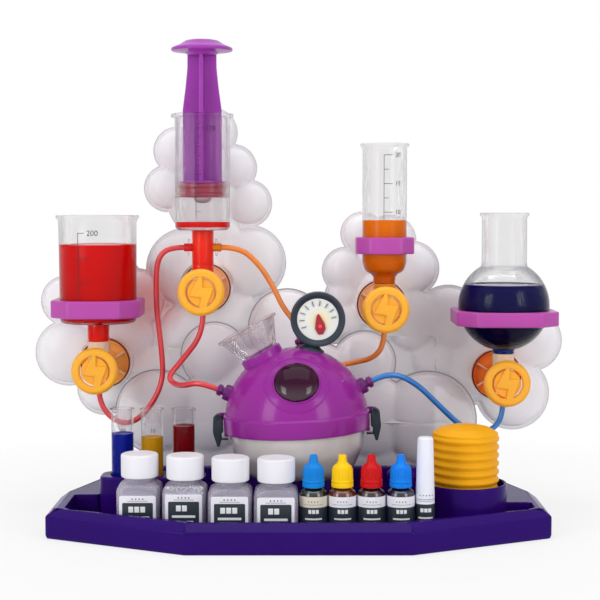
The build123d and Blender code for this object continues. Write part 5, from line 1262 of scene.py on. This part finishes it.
# ---- cloud panels
SHEET, FLANGE, HEM, PITCH, PAD_DEPTH, FOOT_Z = 1.6, 3.0, 0.65, 2.4, 197.1, 14.2
DISC_RADIUS, PAD_WIDTH, PAD_HEIGHT = 22.2, 12.8, 8.4
LEFT_LOBES = [
    (-165.9, 94.5, 22.9, 9), (-195.6, 125.1, 28.4, 13), (-197.3, 169.2, 21.5, 11),
    (-163.0, 177.0, 34.0, 12), (-150.0, 139.5, 30.0, 9), (-138.0, 170.0, 27.0, 10),
    (-102.2, 295.8, 20.4, 12), (-110.7, 264.3, 20.0, 11), (-94.6, 196.4, 34.8, 14),
    (-72.5, 311.0, 21.2, 12), (-55.5, 281.3, 20.4, 12), (-42.8, 251.6, 20.4, 12), (-42.8, 201.5, 32.3, 14),
    (-79.3, 254.2, 32.0, 11), (-88.0, 140.0, 34.0, 9), (-126.0, 106.0, 27.0, 8), (-56.0, 152.0, 30.0, 9),
    (-62.0, 228.0, 16.0, 8), (-80.0, 288.0, 12.0, 6),
]
RIGHT_LOBES = [
    (54.0, 226.1, 18.7, 11), (40.0, 194.7, 20.4, 12), (95.6, 196.4, 23.8, 13), (77.8, 220.2, 22.0, 10),
    (43.8, 154.0, 18.7, 10), (73.5, 166.0, 34.0, 9), (99.0, 152.3, 28.9, 11), (127.0, 152.3, 30.6, 11),
    (162.7, 150.0, 34.0, 10), (197.7, 135.3, 26.3, 12), (182.2, 90.3, 31.4, 12), (145.7, 112.0, 28.9, 9),
    (30.0, 152.0, 20.0, 9), (38.0, 174.0, 16.0, 9), (118.0, 120.0, 24.0, 9), (150.0, 98.0, 18.0, 8),
    (62.0, 204.0, 16.0, 8),
]
FRONT_LOBES = [
    (-118.6, 76.4, 36.0, 12), (-70.8, 124.2, 28.5, 10), (-9.6, 147.7, 33.0, 10), (55.0, 118.3, 27.0, 10),
    (108.7, 69.7, 41.5, 13), (-40.0, 92.0, 40.0, 8), (14.0, 96.0, 40.0, 8), (-76.0, 74.0, 34.0, 8),
    (62.0, 72.0, 36.0, 9),
]


def cloud_finish(name):
    """Milky vacuum-formed sheet with a darker cut edge, and painted coloured light and shade beside the
    coloured liquids.
    """
    finish = Finish(name, IOR=1.45, Specular_IOR_Level=0.3, Coat_Roughness=0.15)
    haze = finish.noise(14, detail=3)
    pull = finish.noise(70, detail=3, stretch=(1, 1, 0.4))
    turn = finish.node("ShaderNodeLayerWeight", {}, {"Blend": 0.45})[1]
    cut = finish.node("ShaderNodeAttribute", {"attribute_name": "cut_edge"})[2]
    shade = finish.mix(haze, linear("#faf6fc"), linear("#ffffff"))
    # painted light and shade: a red glow beside the beaker, as light through its liquid would cast, and
    # darker mauve shade towards the flask
    for centre, radius, soft, share, code in (
        ((-126, 90, 170), 8, 26, 0.9, "#f4686e"),
        ((-142, 92, 132), 6, 30, 0.45, "#e49a9e"),
        ((112, 92, 158), 10, 34, 0.5, "#a08a94"),
        ((128, 92, 112), 6, 30, 0.3, "#b3a4b2"),
    ):
        shade = finish.mix(finish.near(centre, radius, soft) * share, shade, linear(code))
    shade = finish.mix(finish.spread(turn, 0.45, 0.95, 0, 0.45), shade, linear("#b9b0c2"))
    finish.set(
        Base_Color=finish.mix(cut, shade, linear("#6f6873")),
        Roughness=0.24 + pull * 0.16,
        Coat_Weight=0.08 + haze * 0.12,
        Alpha=finish.maths("ADD", finish.spread(turn, 0.1, 0.9, 0.62, 0.98), cut * 0.3, clamp=True),
    )
    return finish.bump(pull, 0.06, 0.3)


class Cloud:
    """Vacuum-formed sheet: a flat flange round a crowd of domes, and pads where things are screwed on."""

    def __init__(self, lobes, back_depth, foot, foot_top, discs=(), pads=()):
        self.lobes, self.front, self.discs, self.pads = lobes, back_depth - SHEET, discs, pads
        self.foot = (foot[0], FOOT_Z, foot[1], foot_top)

    def rise(self, x, z):
        """How far the sheet stands forward of its flange."""
        if any(hypot(x - cx, z - cz) < DISC_RADIUS for cx, cz in self.discs):
            return self.front - PAD_DEPTH
        if any(abs(x - cx) < PAD_WIDTH and abs(z - cz) < PAD_HEIGHT for cx, cz in self.pads):
            return self.front - PAD_DEPTH
        total = 0.0
        for cx, cz, radius, height in self.lobes:
            off = hypot(x - cx, z - cz) / (radius - FLANGE)
            if off < 1:
                cap = 0.84 * height * (1 - off**2.4) ** 0.6
                gap = abs(total - cap)
                lift = (1.4 - gap) ** 2 / 5.6 * min(1, total, cap) if gap < 1.4 else 0
                total = max(total, cap) + lift
        return total

    def depth_in(self, x, z):
        """How far a place lies inside the sheet's outline."""
        left, low, right, high = self.foot
        rows = [radius - hypot(x - cx, z - cz) for cx, cz, radius, _ in self.lobes]
        return max(*rows, min(x - left, right - x, z - low, high - z))

    def guides(self):
        """Loops that the mesh follows, and how deep inside the sheet they still count."""
        loops = []
        for cx, cz, radius, _ in self.lobes:
            for inner in (HEM, 2 * HEM, FLANGE, FLANGE + 0.8):
                loops.append((circle((cx, cz), radius - inner), inner + 0.05))
        for cx, cz in self.discs:
            loops += [(circle((cx, cz), reach), 99) for reach in (22.0, 22.6)]
        for cx, cz in self.pads:
            for a, c in ((12.6, 8.2), (13.2, 8.8)):
                loops.append((oblong(cx - a, cz - c, cx + a, cz + c), 99))
        return loops

    def plan(self):
        """The sheet seen from the front: triangles between its outline, its guides and a grid."""
        spots, edges, regions = [], [], []
        for loop in [circle((cx, cz), radius) for cx, cz, radius, _ in self.lobes] + [oblong(*self.foot)]:
            regions.append(list(range(len(spots), len(spots) + len(loop))))
            spots += [Vector(p) for p in loop]
        for loop, deepest in self.guides():
            index = {}
            for k, p in enumerate(loop):
                if self.depth_in(*p) < deepest:
                    index[k] = len(spots)
                    spots.append(Vector(p))
            pairs = [(k, (k + 1) % len(loop)) for k in index]
            edges += [(index[k], index[n]) for k, n in pairs if n in index]
        low_x, high_x = min(p.x for p in spots), max(p.x for p in spots)
        high_z = max(p.y for p in spots)
        for j in range(int((high_z - 14) / PITCH) + 1):
            for i in range(int((high_x - low_x) / PITCH) + 1):
                x, z = low_x + (i + 0.5 * (j % 2)) * PITCH, 14.6 + j * PITCH
                if self.depth_in(x, z) > 2 * HEM + 0.5:
                    spots.append(Vector((x, z)))
        spots, _, faces = delaunay_2d_cdt(spots, edges, regions, 1, 0.02)[:3]
        return spots, [tuple(face) for face in faces]

    def shell(self):
        """Points and faces of the sheet's front, back and cut edge."""
        spots, faces = self.plan()
        count = len(spots)
        points = [Vector((p.x, back(self.front) - self.rise(p.x, p.y), p.y)) for p in spots]
        points += [p + Vector((0, SHEET, 0)) for p in points]
        sides = {}
        for face in faces:
            for pair in zip(face, face[1:] + face[:1]):
                key = tuple(sorted(pair))
                sides[key] = None if key in sides else pair
        hems = [(b, a, a + count, b + count) for a, b in filter(None, sides.values())]
        return points, faces + [tuple(i + count for i in reversed(face)) for face in faces] + hems


def cloud_sheet(name, cloud, edge_tone=0.28):
    """A cloud in its finish, which darkens the cut edge."""
    sheet = made(name + "_sheet", cloud.shell(), CLOUD, replaces=name, crease=60)
    cut = sheet.data.attributes.new("cut_edge", "FLOAT", "POINT")
    for vertex, value in zip(sheet.data.vertices, cut.data):
        value.value = edge_tone if cloud.depth_in(vertex.co.x / MM, vertex.co.z / MM) < HEM + 0.1 else 0.0


CLOUD = cloud_finish("cloud_sheet")
LEFT_CLOUD = Cloud(LEFT_LOBES, 206.0, (-116, -44), 130,
                   discs=[(BEAKER_X, 118), (SYRINGE_X, 181)], pads=[(BEAKER_X, 167.3)])
RIGHT_CLOUD = Cloud(RIGHT_LOBES, 206.0, (44, 116), 140,
                    discs=[(CYLINDER_X, 167), (FLASK_X, 108)], pads=[(CYLINDER_X, 217.7), (FLASK_X, 159.8)])
cloud_sheet("rear_cloud_left", LEFT_CLOUD)
cloud_sheet("rear_cloud_right", RIGHT_CLOUD)
cloud_sheet("front_cloud", Cloud(FRONT_LOBES, 190.0, (-133, 133), 68), edge_tone=0.75)


# ---- strokes and grains, repeated by node trees
class Pattern(Nodes):
    """A Geometry Nodes tree that repeats one small shape; its sizes are named inputs."""

    def __init__(self, name, **sizes):
        self.tree = bpy.data.node_groups.new(name, "GeometryNodeTree")
        for key, kind in {**sizes, "Finish": "Material"}.items():
            self.tree.interface.new_socket(key, in_out="INPUT", socket_type="NodeSocket" + kind)
        self.tree.interface.new_socket("Geometry", in_out="OUTPUT", socket_type="NodeSocketGeometry")
        start = self.tree.nodes.new("NodeGroupInput")
        self.sizes = {socket.name: Value(self, socket) for socket in start.outputs if socket.name}
        self.end = self.tree.nodes.new("NodeGroupOutput")

    def close(self, instances):
        """Ends the tree in plain geometry with its material."""
        real = self.node("GeometryNodeRealizeInstances", {}, {0: instances})[0]
        last = self.node("GeometryNodeSetMaterial", {}, {0: real, 2: self.sizes["Finish"]})[0]
        self.feed(self.end.inputs[0], last)

    def shell(self, place=Matrix.Identity(4), **sizes):
        holder = linked("holder", bpy.data.meshes.new("holder"))
        modifier = holder.modifiers.new("pattern", "NODES")
        modifier.node_group = self.tree
        for item in self.tree.interface.items_tree:
            if item.in_out == "INPUT":
                modifier[item.identifier] = sizes[item.name]
        return shell_of(holder, place)


def dial_scale():
    """Nine strokes round the gauge's face."""
    tree = Pattern("dial_scale", Count="Int", Radius="Float", Stroke="Vector", Start="Float", Sweep="Float")
    s = tree.sizes
    arc_inputs = {0: s["Count"], 4: s["Radius"], 5: s["Start"], 6: s["Sweep"]}
    row = tree.node("GeometryNodeCurveArc", {}, arc_inputs)[0]
    dots = tree.node("GeometryNodeCurveToPoints", {"mode": "EVALUATED"}, {0: row})
    stroke = tree.node("GeometryNodeMeshCube", {}, {0: s["Stroke"]})[0]
    strokes = tree.node("GeometryNodeInstanceOnPoints", {}, {0: dots[0], 2: stroke, 5: dots[3]})[0]
    tree.close(strokes)
    shell = tree.shell(facing(GAUGE.x, 107.92, GAUGE.z), Count=9, Radius=12.6, Stroke=(4.1, 2.1, 0.4),
                       Start=radians(210), Sweep=radians(-203), Finish=MARK_BLACK.material)
    made("dial_strokes", shell, MARK_BLACK)


def grains():
    """Coarse white grains that fill the second powder bottle."""
    tree = Pattern("grains", Count="Int", Low="Vector", High="Vector", Grain="Float", Seed="Int")
    s = tree.sizes
    spread = {0: s["Low"], 1: s["High"], 8: s["Seed"]}
    place = tree.node("FunctionNodeRandomValue", {"data_type": "FLOAT_VECTOR"}, spread)[0]
    size = tree.node("FunctionNodeRandomValue", {"data_type": "FLOAT"}, {2: 0.6, 3: 1.3, 8: s["Seed"]})[1]
    dots = tree.node("GeometryNodePoints", {}, {0: s["Count"], 1: place})[0]
    grain = tree.node("GeometryNodeMeshIcoSphere", {}, {0: s["Grain"], 1: 1})[0]
    heap = tree.node("GeometryNodeInstanceOnPoints", {}, {0: dots, 2: grain, 6: size})[0]
    tree.close(heap)
    x, depth = BOTTLES[1]
    low, high = (x - 13.6, back(depth) - 13.9, 36.6), (x + 13.6, back(depth) - 8.5, 42.4)
    shell = tree.shell(Count=520, Low=low, High=high, Grain=0.85, Seed=7, Finish=POWDERS[1].material)
    made("white_grain_heap", shell, POWDERS[1], "powder_2", crease=80)


dial_scale()
grains()


# ---- floor, backdrop and light
FLOOR_Z = -0.0003


def studio():
    """White table and backdrop, three soft panels; the table keeps the object's shadow."""
    floor_mesh = bpy.data.meshes.new("table")
    corners = [(x, y, FLOOR_Z) for x, y in ((-4, -3), (4, -3), (4, 6), (-4, 6))]
    floor_mesh.from_pydata(corners, [], [(0, 1, 2, 3)])
    table = linked("table", floor_mesh)
    finish = Finish("table_white", IOR=1.4)
    finish.set(Base_Color=linear("#f4f4f5"), Roughness=0.6 + finish.noise(30, detail=2) * 0.1)
    path = finish.node("ShaderNodeLightPath")
    seen = finish.maths("MAXIMUM", finish.maths("MAXIMUM", path[0], path[3]), path[6])
    white = finish.node("ShaderNodeEmission", {}, {"Color": (1, 1, 1, 1), "Strength": 1.0})[0]
    away = finish.node("ShaderNodeVectorMath", {"operation": "LENGTH"}, {0: finish.place})[1]
    share = finish.spread(away, 0.2, 0.5, 0.72, 1.0) * seen
    shader = Value(finish, finish.shader.outputs[0])
    blend = finish.node("ShaderNodeMixShader", {}, {0: share, 1: shader, 2: white})[0]
    finish.feed(finish.tree.nodes["Material Output"].inputs[0], blend)
    floor_mesh.materials.append(finish.material)

    world = bpy.data.worlds.new("studio")
    bpy.context.scene.world = world
    world.use_nodes = True
    sky = Nodes()
    sky.tree = world.node_tree
    sky.tree.nodes.clear()
    path = sky.node("ShaderNodeLightPath")
    seen = sky.node("ShaderNodeMath", {"operation": "MAXIMUM"}, {0: path[0], 1: path[3]})[0]
    seen = sky.node("ShaderNodeMath", {"operation": "MAXIMUM"}, {0: seen, 1: path[6]})[0]
    dim = sky.node("ShaderNodeBackground", {}, {0: (0.97, 0.97, 1.0, 1), 1: 0.42})[0]
    bright = sky.node("ShaderNodeBackground", {}, {0: (1, 1, 1, 1), 1: 1.0})[0]
    both = sky.node("ShaderNodeMixShader", {}, {0: seen, 1: dim, 2: bright})[0]
    end = sky.tree.nodes.new("ShaderNodeOutputWorld")
    sky.feed(end.inputs[0], both)

    aim = Vector((0, 0, 0.15))
    for name, place, (width, height), power in (
        ("left_panel", (-0.95, -0.95, 0.55), (0.5, 0.9), 6.6),
        ("right_panel", (0.95, -1.0, 0.6), (0.5, 0.9), 5.8),
        ("top_panel", (0.0, -0.1, 1.5), (1.4, 1.0), 8.5),
    ):
        lamp = bpy.data.lights.new(name, "AREA")
        lamp.shape, lamp.size, lamp.size_y, lamp.energy = "RECTANGLE", width, height, power
        holder = linked(name, lamp)
        holder.location = place
        holder.rotation_euler = (aim - Vector(place)).to_track_quat("-Z", "Y").to_euler()


studio()
